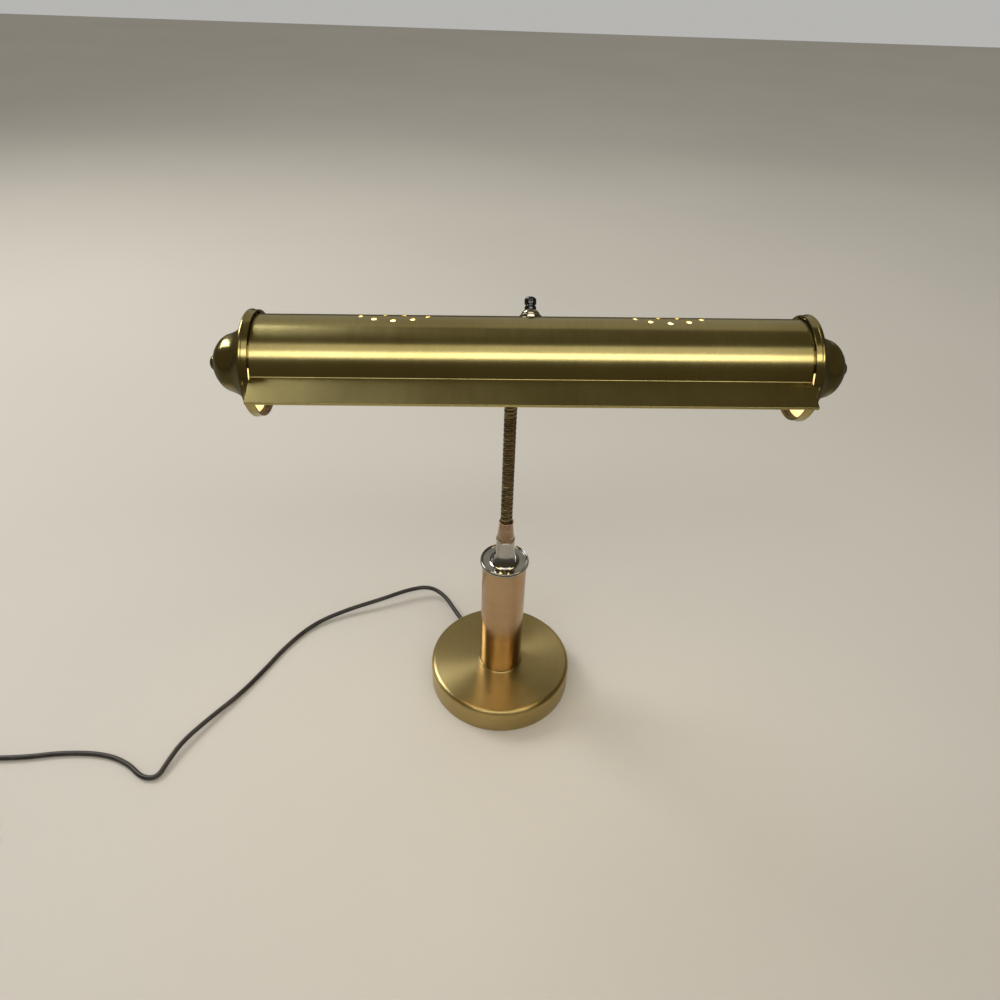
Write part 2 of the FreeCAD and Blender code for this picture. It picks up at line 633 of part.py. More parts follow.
def rounded(points):
    """Straight runs joined by tangent arcs, each as large as its two runs allow."""
    edges = []
    radii = []
    here = points[0]
    for before, corner, after in zip(points, points[1:], points[2:]):
        into = corner - before
        out = after - corner
        run = 0.45 * min(into.Length, out.Length)
        half = into.getAngle(out) / 2
        radii.append(run / math.tan(half))
        into.normalize()
        out.normalize()
        start, end = corner - into * run, corner + out * run
        inward = out - into
        inward.normalize()
        reach = radii[-1] * (1 / math.cos(half) - 1)
        edges.append(Part.LineSegment(here, start).toShape())
        edges.append(Part.Arc(start, corner + inward * reach, end).toShape())
        here = end
    edges.append(Part.LineSegment(here, points[-1]).toShape())
    return Part.Wire(edges), radii


def swept(wire, diameter):
    start = wire.OrderedEdges[0]
    direction = start.tangentAt(start.FirstParameter)
    section = Part.Wire(Part.makeCircle(diameter / 2, start.valueAt(start.FirstParameter), direction))
    return wire.makePipeShell([section], True, False)


def biarc(p0, t0, p1, t1):
    """Two arcs that meet with one tangent, from p0 along t0 to p1 along t1."""
    v = p1 - p0
    t = t0 + t1
    a = 2 * (1 - t0.dot(t1))
    b = 2 * v.dot(t)
    c = -v.dot(v)
    d = -c / b if abs(a) < 1e-9 else (-b + math.sqrt(b * b - 4 * a * c)) / (2 * a)
    joint = (p0 + t0 * d + p1 - t1 * d) * 0.5
    return [arc_from(p0, t0, joint), arc_from(p1, t1 * -1, joint)[::-1]]


def arc_from(start, tangent, end):
    """The start, a point on the way and the end of the arc that leaves start along tangent."""
    chord = end - start
    half = tangent.getAngle(chord) / 2
    side = chord * (tangent.dot(chord) / chord.dot(chord)) - tangent
    side.normalize()
    return [start, start + chord * 0.5 - side * (chord.Length / 2 * math.tan(half)), end]


CORD_R = CORD_D / 2
TURN_PITCH = CORD_D + TURN_GAP
COIL_LOW = CORD_R + TIE_T + 0.05
COIL_HIGH = COIL_LOW + TURN_PITCH


def coil_path():
    """A coil of two layers: half turns that close in, one that climbs, and half turns that open out."""
    x, y = COIL_CENTRE[0], COIL_CENTRE[1] + COIL_R
    heading = -1
    low, high = COIL_LOW, COIL_HIGH
    here = V(x, y, low)
    edges = [Part.LineSegment(here + V(CORD_D, 0, 0), here).toShape()]
    count = COIL_HALF_TURNS
    radii = [COIL_R - TURN_PITCH / 2 * k for k in range(count)]
    plan = [(r, 0.0) for r in radii] + [(COIL_R - TURN_PITCH / 2 * count, high - low)]
    plan += [(r, 0.0) for r in reversed(radii)]
    for radius, climb in plan:
        far = here + V(0, 2 * radius * heading, climb)
        side = here + V(radius * heading, radius * heading, climb / 2)
        if climb:
            slope = V(0, heading, climb / (math.pi / 2 * radius))
            slope.normalize()
            flat = V(heading, 0, 0)
            for a, ta, b, tb in ((here, flat, side, slope), (side, slope, far, flat * -1)):
                edges += [Part.Arc(*points).toShape() for points in biarc(a, ta, b, tb)]
        else:
            edges.append(Part.Arc(here, side, far).toShape())
        here = far
        heading = -heading
    end = here + V(COIL_TAIL * heading, 0, 0)
    edges.append(Part.LineSegment(here, end).toShape())
    return Part.Wire(edges), end


def least_gap(wire, diameter):
    """The least clear distance of a tube to itself, on points a millimetre apart."""
    points = wire.discretize(Distance=1.0)
    near = int(3 * diameter)
    least = min(a.distanceToPoint(b) for i, a in enumerate(points) for b in points[i + near:])
    return least - diameter


def cord():
    bush = lathe((CORD_R + 0.1, BUSH_SEAT - 2.5), [
        (BUSH_R - 0.3, BUSH_SEAT - 2.5), (BUSH_R - 0.3, BUSH_SEAT - 0.35), (BUSH_THROAT, BUSH_SEAT - 0.35),
        (BUSH_THROAT, BASE_R + 0.3), (BUSH_R, BASE_R + 0.3),
        ((BUSH_R - 0.4, BASE_R + 1.6), (BUSH_R - 1.6, BASE_R + BUSH_OUT - 0.2)),
        (CORD_R + 0.1, BASE_R + BUSH_OUT - 0.2)])
    keep("cord_bushing", cord_side(bush))
    inner = cord_side(rod(CORD_R, HOLE_R + 12, BASE_R + BUSH_OUT))
    keep("cord_inlet", inner)
    coil, plug_at = coil_path()
    coil_start = coil.OrderedEdges[0].valueAt(coil.OrderedEdges[0].FirstParameter)
    points = [CORD_START] + [V(*p) for p in CORD_ROUTE] + [coil_start]
    route, radii = rounded(points)
    print("cord radii", [round(r, 1) for r in radii])
    tube = swept(route, CORD_D)
    print("tube volume share", round(tube.Volume / (math.pi * CORD_R ** 2 * route.Length), 5))
    keep("cord", tube)
    wound = swept(coil, CORD_D)
    print("coil volume share", round(wound.Volume / (math.pi * CORD_R ** 2 * coil.Length), 5),
          "least gap", round(least_gap(coil, CORD_D), 3))
    print("cord length", round(route.Length + coil.Length, 1), "tube", round(route.Length, 1))
    keep("cord_coil", wound)
    tie()
    plug(plug_at)


def tie():
    """A flat band round the turns on the coil's far side."""
    x_out = COIL_CENTRE[0] - COIL_R - CORD_R - TIE_GAP
    x_in = COIL_CENTRE[0] - COIL_R + TURN_PITCH * (COIL_HALF_TURNS + 1) / 2 + CORD_R + TIE_GAP
    y = COIL_CENTRE[1] - TURN_PITCH / 4
    top = COIL_HIGH + CORD_R + TIE_GAP
    outer = Part.makeBox(x_in - x_out + 2 * TIE_T, TIE_W, top + TIE_T, V(x_out - TIE_T, y - TIE_W / 2, 0))
    inner = Part.makeBox(x_in - x_out, TIE_W + 2, top - TIE_T, V(x_out, y - TIE_W / 2 - 1, TIE_T))
    keep("cord_tie", outer.cut(inner))


def plug(at):
    """A moulded two-blade plug that lies on the table beside the coil."""
    neck_solid = Part.makeCone(CORD_R + 1.2, CORD_R + 2.6, PLUG_NECK, at, V(1, 0, 0))
    thick = 2 * at.z
    body = Part.makeBox(PLUG_L, PLUG_W, thick, V(at.x + PLUG_NECK, at.y - PLUG_W / 2, at.z - thick / 2))
    body = body.makeFillet(4.0, [e for e in body.Edges if abs(e.tangentAt(e.FirstParameter).x) > 0.9])
    keep("plug_body", body.fuse(neck_solid).removeSplitter())
    long, wide, thin = BLADE
    face = at.x + PLUG_NECK + PLUG_L
    blades = []
    for side in (-1, 1):
        y = at.y + side * BLADE_APART / 2 - thin / 2
        blade = Part.makeBox(long, thin, wide, V(face, y, at.z - wide / 2))
        blades.append(blade.cut(Part.makeCylinder(1.6, 4, V(face + long - 4.5, y - 1, at.z), V(0, 1, 0))))
    keep("plug_blades", Part.makeCompound(blades))


base()
post()
neck()
neck_end()
shell()
caps()
bracket()
lamps()
switch()
cord()
for name, shape in sorted(made.items()):
    if not shape.isValid():
        print("not valid:", name)
print(len(made), "nodes")
axis = HEAD.Rotation.multVec(around(SWITCH_ANGLE, 1))
print("switch axis", [round(c, 5) for c in axis], "at", HEAD.multVec(around(SWITCH_ANGLE, KNOB_L + 40)))
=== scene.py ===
import bmesh
import bpy
import math
from mathutils import Matrix, Vector


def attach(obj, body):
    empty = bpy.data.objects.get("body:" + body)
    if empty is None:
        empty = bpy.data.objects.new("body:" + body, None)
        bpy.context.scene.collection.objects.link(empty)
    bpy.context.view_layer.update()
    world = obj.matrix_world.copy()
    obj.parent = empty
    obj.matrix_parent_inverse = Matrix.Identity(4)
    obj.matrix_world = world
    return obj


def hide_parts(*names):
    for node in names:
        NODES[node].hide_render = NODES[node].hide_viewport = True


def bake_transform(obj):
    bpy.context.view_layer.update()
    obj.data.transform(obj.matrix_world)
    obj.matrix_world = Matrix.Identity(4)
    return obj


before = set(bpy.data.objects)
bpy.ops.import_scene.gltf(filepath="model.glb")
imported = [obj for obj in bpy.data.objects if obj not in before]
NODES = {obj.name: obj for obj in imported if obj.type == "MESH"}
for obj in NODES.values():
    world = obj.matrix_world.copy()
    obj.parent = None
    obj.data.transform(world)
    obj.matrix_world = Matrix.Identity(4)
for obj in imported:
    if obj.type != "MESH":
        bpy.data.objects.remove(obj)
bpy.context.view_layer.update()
METRES = Matrix.Scale(0.001, 4)

# Sizes in millimetres, the same as the part's
BASE_R, BASE_H, BASE_WALL, BASE_EDGE = 76.2, 30.0, 1.0, 5.0
HOLE_R = 4.85
POST_R, POST_TOP, POST_WALL = 22.225, 174.0, 1.0
DISH_R, DISH_TOP = 24.45, 177.0
BELL_R, BELL_NECK_R, BELL_TOP = 13.5, 9.15, 205.0
FERRULE_H, FERRULE_WIDE, FERRULE_SLIM = 22.0, 8.75, 6.75
NECK_R, NECK_ROOT, RIB_PITCH = 5.7, 5.0, 4.9
NECK_START = 229.5
NECK_LEAN = math.radians(-7.5)
NECK_STRAIGHT, NECK_RADIUS, NECK_LENGTH = 101.72, 49.34, 146.93
NECK_LINKS = 6
SHADE_AT = (10.7, -45.3, 416.4)
SHADE_TILT = 0.89
SHELL_R, SHELL_WALL, SHELL_HALF, MOUTH_HALF = 36.4, 0.6, 204.0, 200.4
LIP_ANGLE, BACK_ANGLE = 12.4, 246.0
VISOR, VISOR_DROP, HEM = 23.4, 20.5, 2.0
VENT_X, VENT_ANGLE, VENT_R = 100.5, 112.4, 2.0
VENT_RINGS = ((12, 28.0, 15.9), (6, 14.0, 5.7))
CAP_R, CAP_BAND, CAP_BELL = 39.3, 5.4, 31.0
FITTING_ANGLE, FITTING_X, SEAT_TOP = 225.0, -11.4, 38.5
SWITCH_ANGLE = 130.0
CORD_ANGLE, CORD_Z, CORD_D = 122.0, 10.0, 5.0

HEAD = Matrix.Translation(SHADE_AT) @ Matrix.Rotation(math.radians(-SHADE_TILT), 4, "Y")
SHADE_AXIS = HEAD.to_3x3() @ Vector((1, 0, 0))
SHADE_HUB = HEAD.translation / 1000


# ---- Camera ----

CAMERA_AT = (-0.0231, -0.5543, 0.6846)
CAMERA_YAW, CAMERA_PITCH, CAMERA_ROLL = 1.68, -37.951, 2.16
CAMERA_LENS, CAMERA_SENSOR = 27.04, 36.0


def make_camera():
    data = bpy.data.cameras.new("camera")
    data.lens = CAMERA_LENS
    data.sensor_width = CAMERA_SENSOR
    data.clip_start = 0.01
    camera = bpy.data.objects.new("camera", data)
    bpy.context.scene.collection.objects.link(camera)
    turn = Matrix.Rotation(math.radians(-CAMERA_YAW), 4, "Z")
    turn = turn @ Matrix.Rotation(math.radians(90 + CAMERA_PITCH), 4, "X")
    turn = turn @ Matrix.Rotation(math.radians(CAMERA_ROLL), 4, "Z")
    camera.matrix_world = Matrix.Translation(CAMERA_AT) @ turn
    bpy.context.scene.camera = camera


make_camera()


# ---- Cord ----

CORD_ROUTE = (
    (-53.5, 86.0, 10.8),
    (-67.0, 111.0, 12.0),
    (-87.0, 127.0, 12.5),
    (-113.0, 121.5, 12.0),
    (-146.0, 105.5, 10.0),
    (-184.0, 91.5, 6.5),
    (-222.0, 70.5, 3.4),
    (-248.0, 36.5, 2.5),
    (-265.5, 0.0, 2.5),
    (-283.5, -34.0, 2.9),
    (-307.0, -68.0, 5.2),
    (-326.0, -98.0, 6.6),
    (-333.5, -121.0, 5.2),
    (-338.5, -137.0, 3.2),
    (-354.0, -137.0, 2.5),
    (-373.0, -121.0, 2.5),
    (-402.0, -110.5, 2.5),
    (-444.0, -110.0, 2.5),
    (-484.0, -117.0, 2.9),
)
CORD_OUT = 3.0
COIL_CENTRE, COIL_R, COIL_LOW, TURN_PITCH = (-560.0, -156.0), 38.0, 3.35, 5.45
COIL_HALF_TURNS = 5
COIL_TAIL = 36.0
HALF_TURN_POINTS = 12
PLUG_NECK, PLUG_LONG, PLUG_WIDE = 9.0, 30.0, 24.0


def cord_exit():
    """Where the free cord leaves its bushing, a little outside the base."""
    a = math.radians(CORD_ANGLE)
    reach = BASE_R + CORD_OUT
    return (reach * math.cos(a), reach * math.sin(a), CORD_Z)

def coil_points():
    """Half turns that close in, one that climbs, and half turns that open out again on top."""
    x, y, z = COIL_CENTRE[0], COIL_CENTRE[1] + COIL_R, COIL_LOW
    radii = [COIL_R - TURN_PITCH / 2 * k for k in range(COIL_HALF_TURNS + 1)]
    radii += radii[-2::-1]
    points = [(x + CORD_D, y, z), (x, y, z)]
    heading = -1
    for k, radius in enumerate(radii):
        climb = TURN_PITCH if k == COIL_HALF_TURNS else 0.0
        wide = radius / math.cos(math.pi / (2 * HALF_TURN_POINTS))
        for n in range(HALF_TURN_POINTS):
            share = (n + 0.5) / HALF_TURN_POINTS
            a = math.pi * share
            points.append((x + wide * math.sin(a) * heading,
                           y + heading * (radius - wide * math.cos(a)), z + climb * share))
        y += 2 * radius * heading
        z += climb
        heading = -heading
    return points + [(x, y, z), (x + COIL_TAIL, y, z)]


def make_cord():
    """The cord as one curve. Its bevel is 1, so that each point's radius is the cord's own in metres."""
    coil = coil_points()
    points = [cord_exit()] + list(CORD_ROUTE) + coil
    curve = bpy.data.curves.new("cord_run", "CURVE")
    curve.dimensions = "3D"
    spline = curve.splines.new("NURBS")
    spline.points.add(len(points) - 1)
    for place, point in zip(spline.points, points):
        place.co = (point[0] / 1000, point[1] / 1000, point[2] / 1000, 1)
        place.radius = CORD_D / 2000
    spline.order_u = 3
    spline.use_endpoint_u = True
    spline.resolution_u = 6
    curve.bevel_depth = 1.0
    curve.bevel_resolution = 5
    curve.use_fill_caps = True
    cord = bpy.data.objects.new("cord_run", curve)
    bpy.context.scene.collection.objects.link(cord)
    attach(cord, "root")
    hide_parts("cord", "cord_coil")
    return cord, coil[-1]


CORD, PLUG_AT = make_cord()


# ---- Shader nodes ----

# Scales and shares of the shared effects: the grains, the tarnish with its specks and smudges, and the
# skin of moulded pieces
NOISE_LOW, NOISE_HIGH = 0.3, 0.7
FINE_DETAIL, FINE_ROUGH = 3.0, 0.6
COARSE_SHARE, STRAIGHT_COARSE_SHARE = 0.12, 0.1
FINE_WEIGHT, COARSE_WEIGHT = 0.7, 0.3
STREAK_SCALE, STREAK_REACH = 2.2, 60.0
ALONG_SHARE = 0.03
PATCH_SPREAD, SMUDGE_SPREAD = (0.35, 0.68), (0.4, 0.7)
SPECK_SCALE, SPECK_EDGE = 22.0, (0.16, 0.06)
SPECK_AREA_SCALE, SPECK_AREA = 3.0, (0.56, 0.66)
SMUDGE_SCALE = 2.2
SPECK_DARK = 0.25
SMUDGE_SHINE, SMUDGE_DULL, STREAK_DULL = 0.15, 0.3, 0.15
GROOVE_SHADE = (0.9, 1.08)
GROOVE_DEPTH = 0.00005
CLOUD_SHARE = 0.06
SKIN_SMOOTH, SKIN_DULL = 0.85, 1.2


def fill(tree, sockets, values):
    """Links each value that is a socket to the input of its name, and sets any other."""
    for name, value in values.items():
        if isinstance(value, bpy.types.NodeSocket):
            tree.links.new(value, sockets[name])
        else:
            sockets[name].default_value = value


def add(tree, kind, values=None, **settings):
    """A shader node with its settings and the values of its inputs."""
    node = tree.nodes.new("ShaderNode" + kind)
    for name, value in settings.items():
        setattr(node, name, value)
    fill(tree, node.inputs, values or {})
    return node


def calc(tree, operation, a, b=0.0):
    return add(tree, "Math", {0: a, 1: b}, operation=operation).outputs[0]


def times(tree, a, b):
    return calc(tree, "MULTIPLY", a, b)


def ramp(tree, value, low, high, to_low=0.0, to_high=1.0):
    values = {"Value": value, "From Min": low, "From Max": high, "To Min": to_low, "To Max": to_high}
    return add(tree, "MapRange", values).outputs[0]


def spread(tree, value, low, high):
    """A noise's usual values, spread from low to high."""
    return ramp(tree, value, NOISE_LOW, NOISE_HIGH, low, high)


def blend_colour(tree, share, first, second):
    """The Mix node's colours are its inputs 6 and 7, and its output 2."""
    return add(tree, "Mix", {0: share, 6: first, 7: second}, data_type="RGBA").outputs[2]


def colour(text):
    """A linear colour from sRGB hex digits."""
    parts = [int(text[k:k + 2], 16) / 255 for k in (0, 2, 4)]
    return tuple(c / 12.92 if c <= 0.04045 else ((c + 0.055) / 1.055) ** 2.4 for c in parts) + (1.0,)


def darker(tone, share):
    return tuple(c * share for c in tone[:3]) + (1.0,)


def group(name, inputs, outputs):
    """A new node group with its sockets, each (name, kind)."""
    tree = bpy.data.node_groups.new(name, "ShaderNodeTree")
    for way, sockets in (("INPUT", inputs), ("OUTPUT", outputs)):
        for socket_name, kind in sockets:
            tree.interface.new_socket(socket_name, in_out=way, socket_type="NodeSocket" + kind)
    return tree, tree.nodes.new("NodeGroupInput").outputs, tree.nodes.new("NodeGroupOutput").inputs


def use(tree, made, values):
    """The outputs of a node group that is put into a tree."""
    return add(tree, "Group", values, node_tree=made).outputs


def noise(tree, vector, scale, detail=2.0, rough=0.5):
    values = {"Vector": vector, "Scale": scale, "Detail": detail, "Roughness": rough}
    return add(tree, "TexNoise", values).outputs[0]


GRAIN_INPUTS = (("Vector", "Vector"), ("Fineness", "Float"))
GRAIN_OUTPUTS = (("Groove", "Float"), ("Streak", "Float"))


def make_turned_grain():
    """Fine grooves round the space's Z axis, as a lathe or a polishing wheel leaves them."""
    tree, given, out = group("turned_grain", GRAIN_INPUTS, GRAIN_OUTPUTS)
    x, y, z = add(tree, "SeparateXYZ", {0: given["Vector"]}).outputs
    radius = calc(tree, "SQRT", calc(tree, "ADD", times(tree, x, x), times(tree, y, y)))
    across = add(tree, "CombineXYZ", {0: radius, 2: z}).outputs[0]
    groove = noise(tree, across, given["Fineness"], FINE_DETAIL, FINE_ROUGH)
    coarse = noise(tree, across, times(tree, given["Fineness"], COARSE_SHARE))
    way = calc(tree, "ARCTAN2", y, x)
    around_it = add(tree, "CombineXYZ", {0: times(tree, radius, STREAK_REACH), 1: calc(tree, "SINE", way),
                                         2: calc(tree, "COSINE", way)}).outputs[0]
    both = calc(tree, "ADD", times(tree, groove, FINE_WEIGHT), times(tree, coarse, COARSE_WEIGHT))
    fill(tree, out, {"Groove": both, "Streak": noise(tree, around_it, STREAK_SCALE)})
    return tree


def make_straight_grain():
    """Fine scratches that run across the space's X axis."""
    tree, given, out = group("straight_grain", GRAIN_INPUTS, GRAIN_OUTPUTS)
    x, y, z = add(tree, "SeparateXYZ", {0: given["Vector"]}).outputs
    along = add(tree, "CombineXYZ", {0: x, 1: times(tree, y, ALONG_SHARE),
                                     2: times(tree, z, ALONG_SHARE)}).outputs[0]
    groove = noise(tree, along, given["Fineness"], FINE_DETAIL, FINE_ROUGH)
    streak = noise(tree, along, times(tree, given["Fineness"], STRAIGHT_COARSE_SHARE))
    fill(tree, out, {"Groove": groove, "Streak": streak})
    return tree


def make_tarnish():
    """Clouded patches of a metal's own oxide, small dark specks, and smudges."""
    tree, given, out = group("tarnish", (("Vector", "Vector"), ("Patch Size", "Float")),
                             (("Patch", "Float"), ("Speck", "Float"), ("Smudge", "Float")))
    vector, size = given["Vector"], given["Patch Size"]
    patch = noise(tree, vector, size, 4.0, FINE_ROUGH)
    dots = add(tree, "TexVoronoi", {"Vector": vector, "Scale": times(tree, size, SPECK_SCALE)}).outputs[0]
    area = noise(tree, vector, times(tree, size, SPECK_AREA_SCALE))
    smudge = noise(tree, vector, times(tree, size, SMUDGE_SCALE), 3.0, 0.7)
    fill(tree, out, {"Patch": ramp(tree, patch, *PATCH_SPREAD),
                     "Speck": times(tree, ramp(tree, dots, *SPECK_EDGE), ramp(tree, area, *SPECK_AREA)),
                     "Smudge": ramp(tree, smudge, *SMUDGE_SPREAD)})
    return tree


TURNED_GRAIN = make_turned_grain()
STRAIGHT_GRAIN = make_straight_grain()
TARNISH = make_tarnish()


def new_material(name):
    material = bpy.data.materials.new(name)
    material.use_nodes = True
    tree = material.node_tree
    return material, tree, tree.nodes["Principled BSDF"]


def own_space(tree, place=None):
    """The piece's Object coordinates, turned as a placing matrix is where one is given. The matrix's step
    in millimetres is taken as metres, which puts the grain's axis far off, so its grooves are straight."""
    vector = add(tree, "TexCoord").outputs["Object"]
    if place is None:
        return vector
    back = place.inverted()
    values = {"Vector": vector, "Location": back.to_translation(), "Rotation": back.to_euler()}
    return add(tree, "Mapping", values).outputs[0]


def bump(tree, shader, height, strength, distance=0.0002):
    node = add(tree, "Bump", {"Height": height, "Strength": strength, "Distance": distance})
    tree.links.new(node.outputs[0], shader.inputs["Normal"])


def set_shader(tree, shader, **values):
    """Fills the shader's inputs; an underscore stands for the space in an input's name."""
    fill(tree, shader.inputs, {name.replace("_", " "): value for name, value in values.items()})


def vector_math(tree, operation, a, b):
    return add(tree, "VectorMath", {0: a, 1: b}, operation=operation).outputs[0]


def metal(name, pale, dark, rough, patch, speck=0.5, wear=1.0, grain=None, place=None, stretch=0.0,
          axis=None, hub=None):
    """A metal with clouded tarnish and smudges; wear sets how uneven its sheen is. A grain is its group,
    fineness and depth. The sheen is stretched across the grooves that run round the axis: round its hub
    on turned pieces, and round the surface elsewhere."""
    material, tree, shader = new_material(name)
    space = own_space(tree, place)
    age = use(tree, TARNISH, {"Vector": space, "Patch Size": patch})
    tone = blend_colour(tree, age["Patch"], colour(pale), colour(dark))
    tone = blend_colour(tree, times(tree, age["Speck"], speck), tone, darker(colour(dark), SPECK_DARK))
    roughness = ramp(tree, age["Smudge"], 0.0, 1.0, rough * (1 - SMUDGE_SHINE * wear),
                     rough * (1 + SMUDGE_DULL * wear))
    if grain is not None:
        kind, fineness, depth = grain
        lines = use(tree, kind, {"Vector": space, "Fineness": fineness})
        shade = spread(tree, lines["Groove"], *GROOVE_SHADE)
        tone = add(tree, "VectorMath", {0: tone, "Scale": shade}, operation="SCALE").outputs[0]
        streak = spread(tree, lines["Streak"], 1 - STREAK_DULL * wear, 1 + STREAK_DULL * wear)
        roughness = times(tree, roughness, streak)
        bump(tree, shader, lines["Groove"], depth, GROOVE_DEPTH)
    set_shader(tree, shader, Base_Color=tone, Roughness=roughness, Metallic=1.0, Anisotropic=stretch)
    if axis is not None:
        surface = add(tree, "NewGeometry").outputs
        out = surface["Normal"]
        if hub is not None:
            out = vector_math(tree, "SUBTRACT", surface["Position"], tuple(hub))
        way = add(tree, "CombineXYZ", {0: axis[0], 1: axis[1], 2: axis[2]}).outputs[0]
        groove_way = vector_math(tree, "CROSS_PRODUCT", way, out)
        across = vector_math(tree, "CROSS_PRODUCT", groove_way, surface["Normal"])
        set_shader(tree, shader, Tangent=across)
    return material


def moulded(name, tone, rough, mottle, grit, scale, coat=0.0):
    """Moulded plastic, rubber, felt, iron or paint: a slightly uneven colour and a fine skin."""
    material, tree, shader = new_material(name)
    space = own_space(tree)
    cloud = noise(tree, space, scale * CLOUD_SHARE, 3.0)
    skin = noise(tree, space, scale, FINE_DETAIL, FINE_ROUGH)
    tone = blend_colour(tree, cloud, colour(tone), darker(colour(tone), 1 - mottle))
    bump(tree, shader, skin, grit)
    set_shader(tree, shader, Base_Color=tone, Coat_Weight=coat,
               Roughness=spread(tree, cloud, rough * SKIN_SMOOTH, rough * SKIN_DULL))
    return material


# ---- Shapes ----

# Corners that turn by less than SOFT_FROM degrees stay as they are, and a rounding takes no more than
# SOFT_SHARE of the lines beside it
ARC_PIECES = 8
SOFT_FROM, SOFT_SHARE = 20.0, 0.4
TINY = 1e-6
SAME_POINT = 1e-5
LOOKS_IN = 0.3


def arc_points(start, way, end):
    """Points of the arc from start through a point on the way, without the start."""
    (ax, ay), (bx, by), (cx, cy) = start, way, end
    d = 2 * (ax * (by - cy) + bx * (cy - ay) + cx * (ay - by))
    a2, b2, c2 = ax * ax + ay * ay, bx * bx + by * by, cx * cx + cy * cy
    ux = (a2 * (by - cy) + b2 * (cy - ay) + c2 * (ay - by)) / d
    uy = (a2 * (cx - bx) + b2 * (ax - cx) + c2 * (bx - ax)) / d
    radius = math.hypot(ax - ux, ay - uy)
    first = math.atan2(ay - uy, ax - ux)
    last = math.atan2(cy - uy, cx - ux)
    middle = math.atan2(by - uy, bx - ux)
    sweep = (last - first) % (2 * math.pi)
    if (middle - first) % (2 * math.pi) > sweep:
        sweep -= 2 * math.pi
    return [(ux + radius * math.cos(first + sweep * k / ARC_PIECES),
             uy + radius * math.sin(first + sweep * k / ARC_PIECES)) for k in range(1, ARC_PIECES + 1)]


def profile(start, steps):
    """Points from a start through straight steps and arcs ((way), (end)), as the part's outlines."""
    points = [start]
    for step in steps:
        if isinstance(step[0], tuple):
            points += arc_points(points[-1], step[0], step[1])
        else:
            points.append(step)
    return points


def moved(steps, radius, height):
    """An outline's steps, counted from a radius and a height."""
    out = []
    for step in steps:
        if isinstance(step[0], tuple):
            out.append(tuple((r + radius, z + height) for r, z in step))
        else:
            out.append((step[0] + radius, step[1] + height))
    return out


def soften(points, radius, closed=True, pieces=3):
    """Rounds the corners of an outline that turn enough to need it."""
    out = []
    count = len(points)
    for k, here in enumerate(points):
        if not closed and k in (0, count - 1):
            out.append(here)
            continue
        before, after = Vector(points[k - 1]), Vector(points[(k + 1) % count])
        corner = Vector(here)
        into, leave = corner - before, after - corner
        if into.length < TINY or leave.length < TINY:
            continue
        angle = into.angle(leave)
        if math.degrees(angle) < SOFT_FROM or here[0] == 0:
            out.append(here)
            continue
        cut = min(radius * math.tan(angle / 2), SOFT_SHARE * into.length, SOFT_SHARE * leave.length)
        start, end = corner - into.normalized() * cut, corner + leave.normalized() * cut
        for n in range(pieces + 1):
            t = n / pieces
            out.append(tuple(start * (1 - t) ** 2 + corner * 2 * t * (1 - t) + end * t ** 2))
    return out


def turned_shape(points, steps=96):
    """A bmesh turned about Z from a closed outline of (radius, height)."""
    bm = bmesh.new()
    verts = [bm.verts.new((r, 0, z)) for r, z in points]
    for k, vert in enumerate(verts):
        after = verts[(k + 1) % len(verts)]
        if vert.co.x > TINY or after.co.x > TINY:
            bm.edges.new((vert, after))
    bmesh.ops.spin(bm, geom=bm.edges[:], cent=(0, 0, 0), axis=(0, 0, 1), angle=2 * math.pi, steps=steps,
                   use_merge=True)
    bmesh.ops.remove_doubles(bm, verts=bm.verts, dist=SAME_POINT)
    return bm


def line_inside(bm, keep, above=-math.inf):
    """Gives the second finish to the faces that look to the middle, and the third to those of them that
    are not above a height. keep is 0 along an axis that the shape has no middle on."""
    bmesh.ops.recalc_face_normals(bm, faces=bm.faces)
    for face in bm.faces:
        middle = face.calc_center_median()
        away = Vector([c * k for c, k in zip(middle, keep)])
        if face.normal.dot(away) < -LOOKS_IN * away.length:
            face.material_index = 1 if middle.z > above else 2


def place_piece(name, bm, finish, body, nodes, place=None, sharp=30.0, linings=()):
    """Makes a bmesh in millimetres a finished piece in metres, which rides on a body where one is named."""
    bmesh.ops.recalc_face_normals(bm, faces=bm.faces)
    bm.transform(METRES @ (place or Matrix.Identity(4)))
    mesh = bpy.data.meshes.new(name)
    bm.to_mesh(mesh)
    bm.free()
    for face in mesh.polygons:
        face.use_smooth = True
    mesh.set_sharp_from_angle(angle=math.radians(sharp))
    for material in (finish, *linings):
        mesh.materials.append(material)
    piece = bpy.data.objects.new(name, mesh)
    bpy.context.scene.collection.objects.link(piece)
    if body:
        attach(piece, body)
    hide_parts(*nodes)
    return piece


def turn_about_shade(angle, x=0.0):
    """The part's turn of Z to an angle round the shade's axis, and its step along the axis."""
    return Matrix.Translation((x, 0, 0)) @ Matrix.Rotation(math.radians(90 - angle), 4, "X")


def around(angle, distance):
    """The (y, z) at an angle round the shade's axis."""
    a = math.radians(angle)
    return (-distance * math.cos(a), distance * math.sin(a))


# ---- Finishes ----

